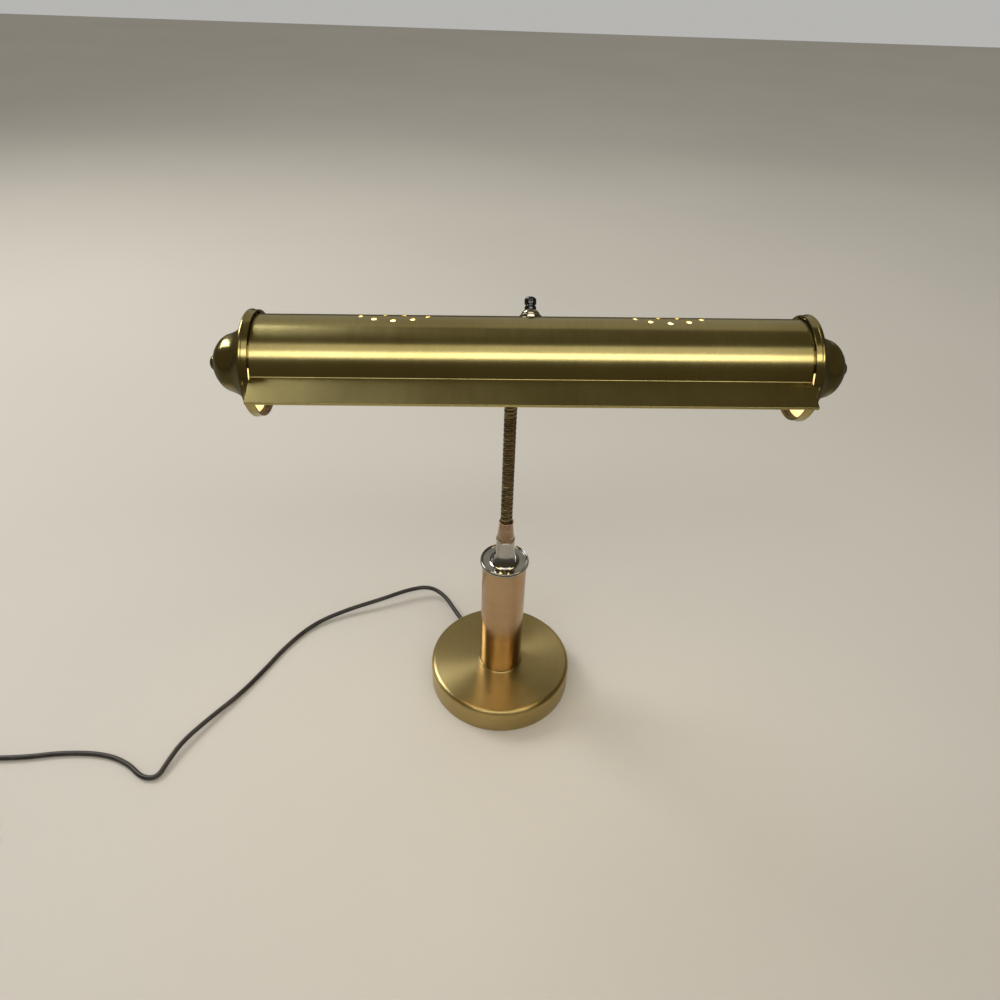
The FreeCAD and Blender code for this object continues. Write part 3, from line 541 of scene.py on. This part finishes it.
BASE_BRASS = metal("base_spun_brass", "bda872", "ab9762", 0.32, 8.0, speck=0.0, wear=0.1,
                   grain=(TURNED_GRAIN, 1400.0, 0.06), stretch=0.8, axis=(0, 0, 1), hub=(0, 0, 0))
POST_BRASS = metal("post_drawn_brass", "b99c78", "a98966", 0.17, 9.0, speck=0.0, wear=0.1,
                   grain=(TURNED_GRAIN, 1500.0, 0.02), stretch=0.6, axis=(0, 0, 1), hub=(0, 0, 0))
FERRULE_BRASS = metal("ferrule_aged_brass", "b79b80", "9a8068", 0.27, 70.0, speck=0.3)
CHROME = metal("cap_chrome", "b9b7b0", "a3a19b", 0.1, 40.0, speck=0.2)
SHADE_BRASS = metal("shade_brushed_brass", "b8ab72", "a89a62", 0.25, 9.0, speck=0.15, wear=0.2,
                    grain=(STRAIGHT_GRAIN, 2200.0, 0.2), place=HEAD, stretch=0.75, axis=SHADE_AXIS)
STEEL = metal("zinc_plated_steel", "a9aca6", "8d8f88", 0.32, 60.0)
NICKEL = metal("nickel", "c2b9a2", "a0977f", 0.16, 90.0)
SCREW_BRASS = metal("screw_brass", "c2a562", "97803f", 0.3, 90.0)
BULB_CAP = metal("bulb_cap_brass", "c9b27a", "9b8650", 0.28, 80.0)
IRON = moulded("cast_iron_black", "2c2b2a", 0.6, 0.3, 0.5, 500.0)
FELT = moulded("base_felt_green", "26382a", 0.95, 0.3, 0.8, 1600.0)
BLACK = moulded("switch_phenolic_black", "0c0b0b", 0.16, 0.2, 0.02, 700.0, 0.6)
PHENOLIC = moulded("holder_phenolic_black", "191615", 0.35, 0.2, 0.1, 600.0)
ENAMEL = moulded("shade_lining_cream", "efe6d2", 0.45, 0.06, 0.05, 400.0)
# Near-black brown painted inside each cap's band, as the shade in the gap round the shell's end
PAINTED_GAP_SHADE = moulded("cap_mouth_painted_gap_shade", "1c150d", 0.8, 0.2, 0.05, 400.0)
RUBBER = moulded("cord_bushing_black", "1a1918", 0.5, 0.2, 0.15, 900.0)
PLUG = moulded("plug_brown", "2c231b", 0.4, 0.2, 0.15, 900.0)
GLOW_PALE, GLOW_DEEP, GLASS_WHITE = (1.0, 0.83, 0.52, 1.0), (1.0, 0.6, 0.28, 1.0), (0.9, 0.86, 0.78, 1.0)
WIRE_PALE, WIRE_DEEP, WIRE_GREY = (1.0, 0.78, 0.4, 1.0), (1.0, 0.62, 0.25, 1.0), (0.2, 0.2, 0.2, 1.0)
BULB_GLOW, WIRE_GLOW = 7.0, 10.0


def make_cord_finish():
    """A dark brown jacket with paler, worn stretches."""
    material, tree, shader = new_material("cord_brown_jacket")
    space = own_space(tree)
    cloud = noise(tree, space, 60.0, 3.0)
    tone = blend_colour(tree, ramp(tree, cloud, 0.35, 0.65), colour("231e19"), colour("38312a"))
    bump(tree, shader, noise(tree, space, 1500.0), 0.1)
    set_shader(tree, shader, Base_Color=tone, Roughness=spread(tree, cloud, 0.36, 0.5))
    return material


def make_glass_finish():
    """A lit tubular bulb: frosted, brightest along its middle."""
    material, tree, shader = new_material("bulb_frosted_glass")
    facing = add(tree, "LayerWeight", {"Blend": 0.35}).outputs["Facing"]
    cloud = noise(tree, own_space(tree), 30.0)
    set_shader(tree, shader, Emission_Color=blend_colour(tree, facing, GLOW_PALE, GLOW_DEEP),
               Roughness=spread(tree, cloud, 0.3, 0.45), Base_Color=GLASS_WHITE, Emission_Strength=BULB_GLOW)
    return material


def make_filament_finish():
    """A glowing wire."""
    material, tree, shader = new_material("bulb_filament_lit")
    glow = blend_colour(tree, noise(tree, own_space(tree), 400.0), WIRE_PALE, WIRE_DEEP)
    set_shader(tree, shader, Emission_Color=glow, Base_Color=WIRE_GREY, Emission_Strength=WIRE_GLOW)
    return material


def make_neck_finish():
    """Wound brass strip gone brown, with worn crests and grooves darkened by tarnish and by painted shade.
    """
    material, tree, shader = new_material("gooseneck_antique_brass")
    space = own_space(tree)
    age = use(tree, TARNISH, {"Vector": space, "Patch Size": 90.0})
    rib = add(tree, "Attribute", attribute_name="rib").outputs["Fac"]
    tone = blend_colour(tree, age["Patch"], colour("8c7c58"), colour("63553c"))
    tone = blend_colour(tree, times(tree, age["Smudge"], 0.2), tone, colour("6a4c38"))
    # The grooves are darkened nearly to black: partly tarnish in the hollows, partly painted shade between
    # the turns
    tone = blend_colour(tree, ramp(tree, rib, 0.05, 0.6, 0.85, 0.0), tone, colour("1d150d"))
    bump(tree, shader, noise(tree, space, 900.0, 3.0), 0.1, 0.0001)
    set_shader(tree, shader, Base_Color=tone, Roughness=ramp(tree, rib, 0.1, 0.9, 0.5, 0.24), Metallic=1.0)
    return material


CORD_JACKET = make_cord_finish()
GLASS = make_glass_finish()
FILAMENT = make_filament_finish()
NECK_BRASS = make_neck_finish()


# ---- Base and post ----

# Outlines as (radius, height) steps, counted from the radius and height that moved() is given
PLAY = 0.05
BASE_FLAT = 8.0
BASE_FOOT = ((0, 0.9), ((-0.15, 0.6), (-0.5, 0.5)), (-BASE_WALL, 0.6))
FOOT_RING_R, FOOT_RING_H, FOOT_RING_SLOPE = 24.0, 1.4, 0.8
DISH_SPIGOT = 4.0
DISH_RIM = ((-0.5, POST_TOP - DISH_TOP), ((0, -1.5), (-0.5, 0)), ((-1.1, 1.1), (-1.9, 0.6)), (-3.0, -0.4))
DISH_COVE = ((4.6, -0.4), ((1.6, -0.1), (0.1, 1.2)), (0.1, 0))
BELL_FOOT = 1.0
BELL_TRUMPET = (((2.65, 4.8), (1.0, 10.0)), ((0.3, 16.0), (-0.15, 24.5)), (0, 25.4))
FERRULE_FOOT = ((0, 0), (0, 1.6), (-0.5, 2.2))
FERRULE_BEAD = ((-0.2, -2.2), (0.2, -1.7), (0.2, -0.3), (-0.1, 0))
FERRULE_SEAT = 9.6


def make_base():
    edge = BASE_R - BASE_EDGE
    corner = BASE_EDGE * (1 - math.sqrt(0.5))
    inside = BASE_R - BASE_WALL
    cover = profile((HOLE_R, BASE_H), [
        (POST_R + BASE_FLAT, BASE_H), (edge, BASE_H),
        ((BASE_R - corner, BASE_H - corner), (BASE_R, BASE_H - BASE_EDGE)), *moved(BASE_FOOT, BASE_R, 0),
        (inside, BASE_H - BASE_EDGE),
        ((inside - corner, BASE_H - BASE_WALL - corner), (edge - BASE_WALL, BASE_H - BASE_WALL)),
        (HOLE_R, BASE_H - BASE_WALL)])
    place_piece("base_cover_spun", turned_shape(cover, 160), BASE_BRASS, "root",
                ["base_cover"])
    bore, top = POST_R + PLAY, BASE_H + FOOT_RING_H
    ring = soften([(bore, BASE_H), (FOOT_RING_R, BASE_H), (FOOT_RING_R, BASE_H + FOOT_RING_H / 2),
                   (FOOT_RING_R - FOOT_RING_SLOPE, top), (bore, top)], 0.3)
    place_piece("post_foot_ring_turned", turned_shape(ring), BASE_BRASS, "root",
                ["post_foot_ring"])


def make_post():
    bore = POST_R - POST_WALL
    wall = soften([(bore, BASE_H), (POST_R, BASE_H), (POST_R, POST_TOP), (bore, POST_TOP)], 0.25)
    place_piece("post_tube_drawn", turned_shape(wall, 128), POST_BRASS, "root", ["post_tube"])
    low, spigot = POST_TOP - DISH_SPIGOT, bore - PLAY
    dish = profile((HOLE_R, low), [
        (spigot, low), (spigot, POST_TOP), *moved(DISH_RIM, DISH_R, DISH_TOP),
        *moved(DISH_COVE, BELL_R, DISH_TOP), (HOLE_R, DISH_TOP)])
    place_piece("cap_dish_turned", turned_shape(soften(dish, 0.2), 128), CHROME, "root",
                ["cap_dish"])
    bell = profile((HOLE_R, DISH_TOP), [
        (BELL_R, DISH_TOP), (BELL_R, DISH_TOP + BELL_FOOT), *moved(BELL_TRUMPET, BELL_NECK_R, DISH_TOP),
        (BELL_NECK_R, BELL_TOP), (HOLE_R, BELL_TOP)])
    place_piece("cap_bell_turned", turned_shape(soften(bell, 0.3), 128), CHROME, "root",
                ["cap_bell"])


def make_ferrules():
    bore = NECK_R + PLAY
    points = soften([(HOLE_R, 0), *moved(FERRULE_FOOT, FERRULE_WIDE, 0),
                     *moved(FERRULE_BEAD, FERRULE_SLIM, FERRULE_H), (bore, FERRULE_H), (bore, FERRULE_SEAT),
                     (HOLE_R, FERRULE_SEAT)], 0.3)
    high = HEAD @ turn_about_shade(FITTING_ANGLE, FITTING_X) @ Matrix.Translation((0, 0, SEAT_TOP))
    for name, body, place in (("lower", "root", Matrix.Translation((0, 0, BELL_TOP))),
                              ("upper", "head", high)):
        place_piece(f"{name}_ferrule_turned", turned_shape(points, 72), FERRULE_BRASS, body,
                    [f"{name}_ferrule"], place)


# ---- Gooseneck ----

# How the neck's line is eased, the wound strip's section, and how far the neck goes on past its hinges
SMOOTH_REACH, SMOOTH_STEP = 4, 1.5
LEVEL_STEP = 0.5
RIB_EDGE, RIB_SLOPE = 0.92, 0.36
RINGS_PER_RIB, NECK_SIDES = 12, 48
SEAM_GAP = 1e-4
IN_LOWER_FERRULE, IN_UPPER_FERRULE = 14.0, 13.0


def neck_line(s):
    """The part's neck line: upright in the ferrule, a straight lean, an arc, and straight on."""
    if s < 0:
        return Vector((0, 0, NECK_START + s))
    run = min(s, NECK_STRAIGHT)
    angle = NECK_LEAN + max(0.0, min(s, NECK_LENGTH) - NECK_STRAIGHT) / NECK_RADIUS
    rest = max(0.0, s - NECK_LENGTH)
    y = -run * math.sin(NECK_LEAN) - NECK_RADIUS * (math.cos(NECK_LEAN) - math.cos(angle))
    z = run * math.cos(NECK_LEAN) + NECK_RADIUS * (math.sin(angle) - math.sin(NECK_LEAN))
    return Vector((0, y - rest * math.sin(angle), NECK_START + z + rest * math.cos(angle)))


def neck_middle(s):
    """The neck line with its bends' ends eased."""
    places = [neck_line(s + SMOOTH_STEP * k) for k in range(-SMOOTH_REACH, SMOOTH_REACH + 1)]
    return sum(places, Vector()) / len(places)


def rib_height(phase):
    """Height of the wound strip over one pitch, from 0 in the groove to 1 on the crest."""
    x = abs((phase % 1.0) - 0.5) * 2
    t = max(0.0, min(1.0, (RIB_EDGE - x) / RIB_SLOPE))
    return t * t * (3 - 2 * t)


def make_sleeve(number, low, high, nodes):
    """A length of the wound neck that reaches from one body to the next."""
    rings = max(2, round((high - low) / RIB_PITCH * RINGS_PER_RIB))
    bm = bmesh.new()
    bmesh.ops.create_grid(bm, x_segments=NECK_SIDES, y_segments=rings, size=0.5)
    layer = bm.verts.layers.float.new("rib")
    side = Vector((1, 0, 0))
    for vert in bm.verts:
        turn = (vert.co.x + 0.5) * 2 * math.pi
        s = low + (vert.co.y + 0.5) * (high - low)
        height = rib_height(s / RIB_PITCH + turn / (2 * math.pi))
        radius = NECK_ROOT + (NECK_R - NECK_ROOT) * height
        way = (neck_middle(s + LEVEL_STEP) - neck_middle(s - LEVEL_STEP)).normalized()
        front = side.cross(way)
        vert.co = neck_middle(s) + side * radius * math.cos(turn) + front * radius * math.sin(turn)
        vert[layer] = height
    bmesh.ops.remove_doubles(bm, verts=bm.verts, dist=SEAM_GAP)
    ends = [edge for edge in bm.edges if edge.is_boundary]
    bmesh.ops.holes_fill(bm, edges=ends, sides=0)
    sleeve = place_piece(f"gooseneck_{number}", bm, NECK_BRASS, None, nodes, sharp=70.0)
    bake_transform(sleeve)


def make_gooseneck():
    link = NECK_LENGTH / NECK_LINKS
    nodes = ["neck_foot"] + [f"neck_link_{k}" for k in range(1, NECK_LINKS + 1)]
    for k in range(NECK_LINKS + 1):
        low = -IN_LOWER_FERRULE if k == 0 else link * (k - 0.5)
        high = NECK_LENGTH + IN_UPPER_FERRULE if k == NECK_LINKS else link * (k + 0.5)
        stands_for = [nodes[k], "neck_tip"] if k == NECK_LINKS else [nodes[k]]
        make_sleeve(k + 1, low, high, stands_for)


# ---- Shade ----

# Points round the shell and down its visor, and places along it; the cuts' depths count from its axis
SHELL_STEPS = 96
VISOR_SHARES = (0.06, 0.3, 0.6, 0.94)
VISOR_ROUND = 1.6
NEAR_MOUTH = 1.5
STATIONS = (190, 175, 160, 145, 134, *range(132, 68, -2), 64, 54, 44, 34, 24, 18, 12, 6, 0)
CUT_LOW, CUT_HIGH = 28, 45
VENT_LOW, VENT_HIGH = 30, 42
CUTTER_SIDES = 24
NOTCH_TURN, NOTCH_FRONT = 10.0, -30.0
# Outlines of the end cap as (radius, height) steps: the bead counts from the band's top edge, the sweep
# from the band's top on the axis, and the dome from the bell's end on the axis
BEAD_OUT = ((0, -1.2), ((0.6, 0.6), (-0.6, 2.0)), (-2.6, 1.6))
SWEEP_OUT = (((32.4, 3.3), (29.4, 6.0)), ((26.6, 8.8), (24.6, 11.2)), ((22.6, 15.0), (21.3, 18.8)))
DOME_OUT = (((18.9, -8.2), (15.4, -5.0)), ((11.6, -2.6), (7.6, -1.2)), (6.5, -1.3), (6.2, -0.6),
            ((4.9, 1.5), (0.8, 2.9)), (0, 2.9))
BEAD_IN = ((-0.8, -1.0), (-2.4, 0.8))
SWEEP_IN = (((32.0, 2.6), (28.8, 5.4)), ((26.0, 8.3), (23.9, 10.7)), ((21.9, 14.7), (20.6, 18.5)))
DOME_IN = (((18.3, -8.7), (14.9, -5.7)), ((11.2, -3.4), (7.6, -2.1)), (5.6, -2.1), (5.4, -0.8),
           ((4.0, 0.8), (0.8, 2.1)), (0, 2.1))
CAP_WALL = 0.8


def shade_outline():
    """The shell's outer line from the back, over the top, to the lip, and down the visor to its hem."""
    step = (LIP_ANGLE - BACK_ANGLE) / SHELL_STEPS
    points = [around(BACK_ANGLE + step * k, SHELL_R) for k in range(SHELL_STEPS + 1)]
    drop = math.radians(VISOR_DROP)
    lip = Vector(points[-1])
    down = Vector((-math.cos(drop), -math.sin(drop)))
    edge = lip + down * VISOR
    hem = edge + Vector((math.sin(drop), -math.cos(drop))) * HEM
    points += [tuple(lip + down * VISOR * share) for share in VISOR_SHARES] + [tuple(edge), tuple(hem)]
    return points[:SHELL_STEPS] + soften(points[SHELL_STEPS - 1:], VISOR_ROUND, closed=False, pieces=6)[1:]


def shade_stations():
    """Places along the shade: close together where the vents are."""
    half = [SHELL_HALF, MOUTH_HALF, MOUTH_HALF - NEAR_MOUTH, *STATIONS]
    return [-x for x in half[:-1]] + half[::-1]


def cylinder_at(radius, low, high, place):
    bm = bmesh.new()
    bmesh.ops.create_cone(bm, cap_ends=True, segments=CUTTER_SIDES, radius1=radius, radius2=radius,
                          depth=high - low)
    bm.transform(place @ Matrix.Translation((0, 0, (high + low) / 2)))
    return bm


def joined(parts):
    out = bmesh.new()
    for part in parts:
        mesh = bpy.data.meshes.new("part")
        part.to_mesh(mesh)
        out.from_mesh(mesh)
        bpy.data.meshes.remove(mesh)
        part.free()
    return out


def cut_by(bm, cutters):
    """The bmesh with other closed ones cut away from it."""
    pair = []
    for name, shape in (("blank", bm), ("cutters", joined(cutters))):
        mesh = bpy.data.meshes.new(name)
        bmesh.ops.recalc_face_normals(shape, faces=shape.faces)
        shape.to_mesh(mesh)
        shape.free()
        pair.append(bpy.data.objects.new(name, mesh))
        bpy.context.scene.collection.objects.link(pair[-1])
    cut = pair[0].modifiers.new("cut", "BOOLEAN")
    cut.object = pair[1]
    cut.operation = "DIFFERENCE"
    cut.solver = "EXACT"
    cut.use_self = True
    bpy.context.view_layer.update()
    done = bpy.data.meshes.new_from_object(pair[0].evaluated_get(bpy.context.evaluated_depsgraph_get()))
    out = bmesh.new()
    out.from_mesh(done)
    bpy.data.meshes.remove(done)
    for blank in pair:
        mesh = blank.data
        bpy.data.objects.remove(blank)
        bpy.data.meshes.remove(mesh)
    return out


def make_shade_shell():
    outer = shade_outline()
    bm = bmesh.new()
    stations = shade_stations()
    row = [bm.verts.new((stations[0], y, z)) for y, z in outer]
    edges = [bm.edges.new(pair) for pair in zip(row, row[1:])]
    for before, after in zip(stations, stations[1:]):
        made = bmesh.ops.extrude_edge_only(bm, edges=edges)["geom"]
        fresh = [v for v in made if isinstance(v, bmesh.types.BMVert)]
        edges = [e for e in made if isinstance(e, bmesh.types.BMEdge)
                 and e.verts[0] in fresh and e.verts[1] in fresh]
        bmesh.ops.translate(bm, vec=(after - before, 0, 0), verts=fresh)
    notch = around(LIP_ANGLE + NOTCH_TURN, SHELL_R)[1]
    middles = [(face, face.calc_center_median()) for face in bm.faces]
    ends = [face for face, at in middles
            if abs(at.x) > MOUTH_HALF and at.y < NOTCH_FRONT and at.z < notch]
    bmesh.ops.delete(bm, geom=ends, context="FACES")
    bmesh.ops.recalc_face_normals(bm, faces=bm.faces)
    top = max(bm.faces, key=lambda f: f.calc_center_median().z)
    if top.normal.z < 0:
        bmesh.ops.reverse_faces(bm, faces=bm.faces)
    bmesh.ops.solidify(bm, geom=bm.faces[:] + bm.edges[:] + bm.verts[:], thickness=SHELL_WALL)
    cutters = [cylinder_at(HOLE_R, CUT_LOW, CUT_HIGH, turn_about_shade(FITTING_ANGLE, FITTING_X)),
               cylinder_at(HOLE_R, CUT_LOW, CUT_HIGH, turn_about_shade(SWITCH_ANGLE))]
    for side in (-1, 1):
        for count, half_long, half_round in VENT_RINGS:
            for k in range(count):
                t = 2 * math.pi * k / count
                angle = VENT_ANGLE + math.degrees(half_round * math.sin(t) / SHELL_R)
                x = side * VENT_X + half_long * math.cos(t)
                cutters.append(cylinder_at(VENT_R, VENT_LOW, VENT_HIGH, turn_about_shade(angle, x)))
    shell = cut_by(bm, cutters)
    line_inside(shell, (0, 1, 1))
    place_piece("shade_shell_formed", shell, SHADE_BRASS, "head", ["shade_shell"], HEAD,
                linings=[ENAMEL])


def cap_line(wall, bead, sweep, dome):
    """One side of the end cap's wall, from its mouth to its button."""
    return profile((CAP_R - wall, 0), [*moved(bead, CAP_R, CAP_BAND), *moved(sweep, 0, CAP_BAND),
                                       *moved(dome, 0, CAP_BAND + CAP_BELL)])


def make_caps():
    outer = cap_line(0, BEAD_OUT, SWEEP_OUT, DOME_OUT)
    inner = cap_line(CAP_WALL, BEAD_IN, SWEEP_IN, DOME_IN)
    wall = soften(outer, 0.3) + soften(inner[::-1], 0.3)
    for side, name in ((-1, "left"), (1, "right")):
        place = HEAD @ Matrix.Translation((side * MOUTH_HALF, 0, 0))
        place = place @ Matrix.Rotation(side * math.pi / 2, 4, "Y")
        finish = metal(f"cap_{name}_spun_brass", "b3a66c", "9b8d58", 0.19, 14.0, speck=0.15, wear=0.3,
                       grain=(TURNED_GRAIN, 1300.0, 0.04), place=place, stretch=0.4, axis=SHADE_AXIS,
                       hub=SHADE_HUB)
        cap = turned_shape(wall, 128)
        # Inner faces above the band get the cream lining; the band's inside gets the painted gap shade
        line_inside(cap, (1, 1, 1), CAP_BAND)
        place_piece(f"end_cap_{name}_spun", cap, finish, "head", [f"end_cap_{name}"], place,
                    linings=[ENAMEL, PAINTED_GAP_SHADE])


# ---- Switch ----

# Outlines as (radius, height) steps; the knob's skirt counts from its foot, and its crown from its top
SWITCH_RING = ((HOLE_R, 35.4), (8.5, 35.4), (8.5, 37.7), (8.0, 38.2), (HOLE_R, 38.2))
NUT_BORE, NUT_LOW = 4.8, 38.2
SWITCH_NUT = ((7.0, NUT_LOW), (7.0, 39.4), ((6.3, 40.8), (5.15, 41.9)), (NUT_BORE, 41.9))
KNOB_LOW, KNOB_HIGH, KNOB_BORE, BORE_DEPTH = 42.3, 52.3, 2.5, 7.0
KNOB_SKIRT = ((4.4, 0), (4.4, 2.6), ((3.75, 3.0), (3.65, 3.6)), (3.65, 4.1), (4.5, 4.5))
KNOB_CROWN = ((4.5, -2.2), ((3.6, -0.6), (2.0, 0)), (0, 0))
FLUTES, FLUTE_DEPTH = 16, 0.035
GRIP_R, GRIP_LOW, GRIP_HIGH = 3.7, KNOB_LOW + 4.4, KNOB_HIGH - 1.6


def make_switch():
    place = HEAD @ turn_about_shade(SWITCH_ANGLE)
    place_piece("switch_ring_turned", turned_shape(soften(SWITCH_RING, 0.3), 64), NICKEL, "head",
                ["switch_ring"], place)
    nut = profile((NUT_BORE, NUT_LOW), SWITCH_NUT)
    place_piece("switch_nut_turned", turned_shape(soften(nut, 0.25), 64), NICKEL, "head",
                ["switch_nut"], place)
    knob = profile((0, KNOB_LOW + BORE_DEPTH), [
        (KNOB_BORE, KNOB_LOW + BORE_DEPTH), (KNOB_BORE, KNOB_LOW), *moved(KNOB_SKIRT, 0, KNOB_LOW),
        *moved(KNOB_CROWN, 0, KNOB_HIGH)])
    shape = turned_shape(soften(knob, 0.2), 96)
    for vert in shape.verts:
        radius = math.hypot(vert.co.x, vert.co.y)
        if radius > GRIP_R and GRIP_LOW < vert.co.z < GRIP_HIGH:
            dip = 1 - FLUTE_DEPTH * (0.5 - 0.5 * math.cos(FLUTES * math.atan2(vert.co.y, vert.co.x)))
            vert.co.x *= dip
            vert.co.y *= dip
    place_piece("switch_knob_turned", shape, BLACK, "knob", ["switch_knob"], place)


# ---- Bushing and plug ----

# Outlines as (radius, height) steps: the bushing's from the inside and the outside of the base's wall
BUSH_INSIDE = ((2.6, -2.5), (5.7, -2.5), (5.7, -0.35), (4.2, -0.35))
BUSH_OUTSIDE = ((4.2, 0.3), (6.0, 0.3), (5.6, 1.6), (4.4, 2.8), (2.6, 2.8))
PLUG_CORNER, PLUG_EDGE = 4.0, 1.2
PLUG_BORE, PLUG_NECK_R, NECK_FROM, NECK_SUNK = 2.0, 5.1, 0.2, 1
PLUG_RIB = ((-0.6, 0), (0, 0.4), (0, 1.4), (-0.6, 1.8))
PLUG_RIBS, PLUG_RIB_R, PLUG_RIB_Z = 4, (3.7, 0.35), (0.4, 2.2)


def make_bushing():
    side = Matrix.Translation((0, 0, CORD_Z)) @ Matrix.Rotation(math.radians(CORD_ANGLE), 4, "Z")
    side = side @ Matrix.Rotation(math.pi / 2, 4, "Y")
    bush = soften(moved(BUSH_INSIDE, 0, BASE_R - BASE_WALL) + moved(BUSH_OUTSIDE, 0, BASE_R), 0.3)
    place_piece("cord_bushing_moulded", turned_shape(bush, 48), RUBBER, "root",
                ["cord_bushing"], side)


def make_plug():
    x, y, z = PLUG_AT
    body = bmesh.new()
    bmesh.ops.create_cube(body, size=1.0)
    bmesh.ops.scale(body, vec=(PLUG_LONG, PLUG_WIDE, 2 * z), verts=body.verts)
    bevel = {"profile": 0.5, "affect": "EDGES", "material": -1}
    lengthwise = [e for e in body.edges if abs(e.verts[0].co.x - e.verts[1].co.x) > 1]
    bmesh.ops.bevel(body, geom=lengthwise, offset=PLUG_CORNER, segments=6, **bevel)
    faces = [f for f in body.faces if abs(f.normal.x) > 0.9]
    bmesh.ops.bevel(body, geom=[e for f in faces for e in f.edges], offset=PLUG_EDGE, segments=3, **bevel)
    bmesh.ops.translate(body, vec=(x + PLUG_NECK + PLUG_LONG / 2, y, z), verts=body.verts)
    relief = [(PLUG_BORE, NECK_FROM)]
    for k in range(PLUG_RIBS):
        relief += moved(PLUG_RIB, PLUG_RIB_R[0] + PLUG_RIB_R[1] * k, PLUG_RIB_Z[0] + PLUG_RIB_Z[1] * k)
    relief += [(PLUG_NECK_R, PLUG_NECK + NECK_SUNK), (PLUG_BORE, PLUG_NECK + NECK_SUNK)]
    neck = turned_shape(relief, 40)
    neck.transform(Matrix.Translation(PLUG_AT) @ Matrix.Rotation(math.pi / 2, 4, "Y"))
    return place_piece("plug_moulded", joined([body, neck]), PLUG, "root", ["plug_body"])


make_base()
make_post()
make_ferrules()
make_gooseneck()
make_shade_shell()
make_caps()
make_switch()
make_bushing()
PLUG_BODY = make_plug()
CORD.data.materials.append(CORD_JACKET)


# ---- Finishes of the solids that stay ----

KEPT = (
    (IRON, ("base_weight",)),
    (FELT, ("base_felt",)),
    (STEEL, ("base_washer", "base_nut", "tie_rod", "post_centring_disc", "cap_nut", "neck_nipple",
             "nipple_washer", "nipple_nut", "socket_bracket", "switch_washer")),
    (FERRULE_BRASS, ("shade_seat",)),
    (SCREW_BRASS, ("cap_clips_left", "cap_clips_right", "socket_shell_left", "socket_shell_right",
                   "socket_contact_left", "socket_contact_right", "socket_screws", "switch_shaft",
                   "plug_blades")),
    (PHENOLIC, ("socket_left", "socket_right", "switch_body")),
    (BULB_CAP, ("bulb_cap_left", "bulb_cap_right")),
    (GLASS, ("bulb_glass_left", "bulb_glass_right")),
    (FILAMENT, ("bulb_filament_left", "bulb_filament_right")),
    (CORD_JACKET, ("cord_inlet",)),
    (RUBBER, ("cord_tie",)),
)


def finish_kept():
    for finish, names in KEPT:
        for name in names:
            materials = NODES[name].data.materials
            if not materials:
                materials.append(finish)
            for index in range(len(materials)):
                materials[index] = finish


# ---- Floor and light ----

FLOOR_HALF = 6.0
FLOOR_PALE, FLOOR_SHADE, FLOOR_FAR = colour("c9c3b7"), colour("bdb7ab"), colour("2a2418")
FAR_FROM, FAR_TO, FAR_SHARE = 0.35, 0.7, 0.85
ROOM, ROOM_IN_METAL = (0.47, 0.465, 0.45, 1.0), (0.09, 0.075, 0.045, 1.0)
LIGHTS_AROUND = Vector((0, 0, 0.35))
# Each light: name, azimuth, height, distance, size, power, tone
LIGHTS = (
    ("front_softbox", 4, 50, 2.6, (3.2, 0.6), 23.0, (1.0, 0.98, 0.95)),
    ("high_softbox", 4, 66, 2.6, (3.0, 0.7), 6.0, (1.0, 0.96, 0.9)),
    ("left_softbox", -120, 38, 2.4, (1.0, 1.2), 30.0, (0.97, 0.98, 1.0)),
    ("back_card", 180, 32, 2.0, (3.6, 2.0), 6.0, (1.0, 0.98, 0.95)),
)


def make_stage():
    """A pale floor. Where metal mirrors it, it darkens away from the lamp, as a dim room would."""
    bm = bmesh.new()
    bmesh.ops.create_grid(bm, x_segments=1, y_segments=1, size=FLOOR_HALF)
    mesh = bpy.data.meshes.new("floor")
    bm.to_mesh(mesh)
    bm.free()
    floor = bpy.data.objects.new("floor", mesh)
    bpy.context.scene.collection.objects.link(floor)
    material, tree, shader = new_material("floor_pale")
    space = own_space(tree)
    pale = blend_colour(tree, noise(tree, space, 1.3, 3.0), FLOOR_PALE, FLOOR_SHADE)
    away = add(tree, "VectorMath", {0: space}, operation="LENGTH").outputs["Value"]
    in_metal = add(tree, "LightPath").outputs["Is Glossy Ray"]
    far = times(tree, in_metal, ramp(tree, away, FAR_FROM, FAR_TO, 0.0, FAR_SHARE))
    set_shader(tree, shader, Base_Color=blend_colour(tree, far, pale, FLOOR_FAR), Roughness=0.7)
    mesh.materials.append(material)


def area_light(name, azimuth, height, distance, size, power, tone):
    """A light that faces the lamp: azimuth 0 is in front, and grows to the right."""
    data = bpy.data.lights.new(name, "AREA")
    data.shape = "RECTANGLE"
    data.size, data.size_y = size
    data.energy = power
    data.color = tone
    light = bpy.data.objects.new(name, data)
    bpy.context.scene.collection.objects.link(light)
    a, e = math.radians(azimuth), math.radians(height)
    way = Vector((math.sin(a) * math.cos(e), -math.cos(a) * math.cos(e), math.sin(e)))
    turn = (-way).to_track_quat("-Z", "Y").to_matrix().to_4x4()
    light.matrix_world = Matrix.Translation(LIGHTS_AROUND + way * distance) @ turn


def make_room():
    """The room's soft light, which is darker where the metal mirrors it."""
    world = bpy.data.worlds.new("studio")
    bpy.context.scene.world = world
    world.use_nodes = True
    tree = world.node_tree
    in_metal = add(tree, "LightPath").outputs["Is Glossy Ray"]
    fill(tree, tree.nodes["Background"].inputs, {"Color": blend_colour(tree, in_metal, ROOM, ROOM_IN_METAL)})


finish_kept()
make_stage()
make_room()
for settings in LIGHTS:
    area_light(*settings)
bpy.context.scene.view_settings.view_transform = "Standard"
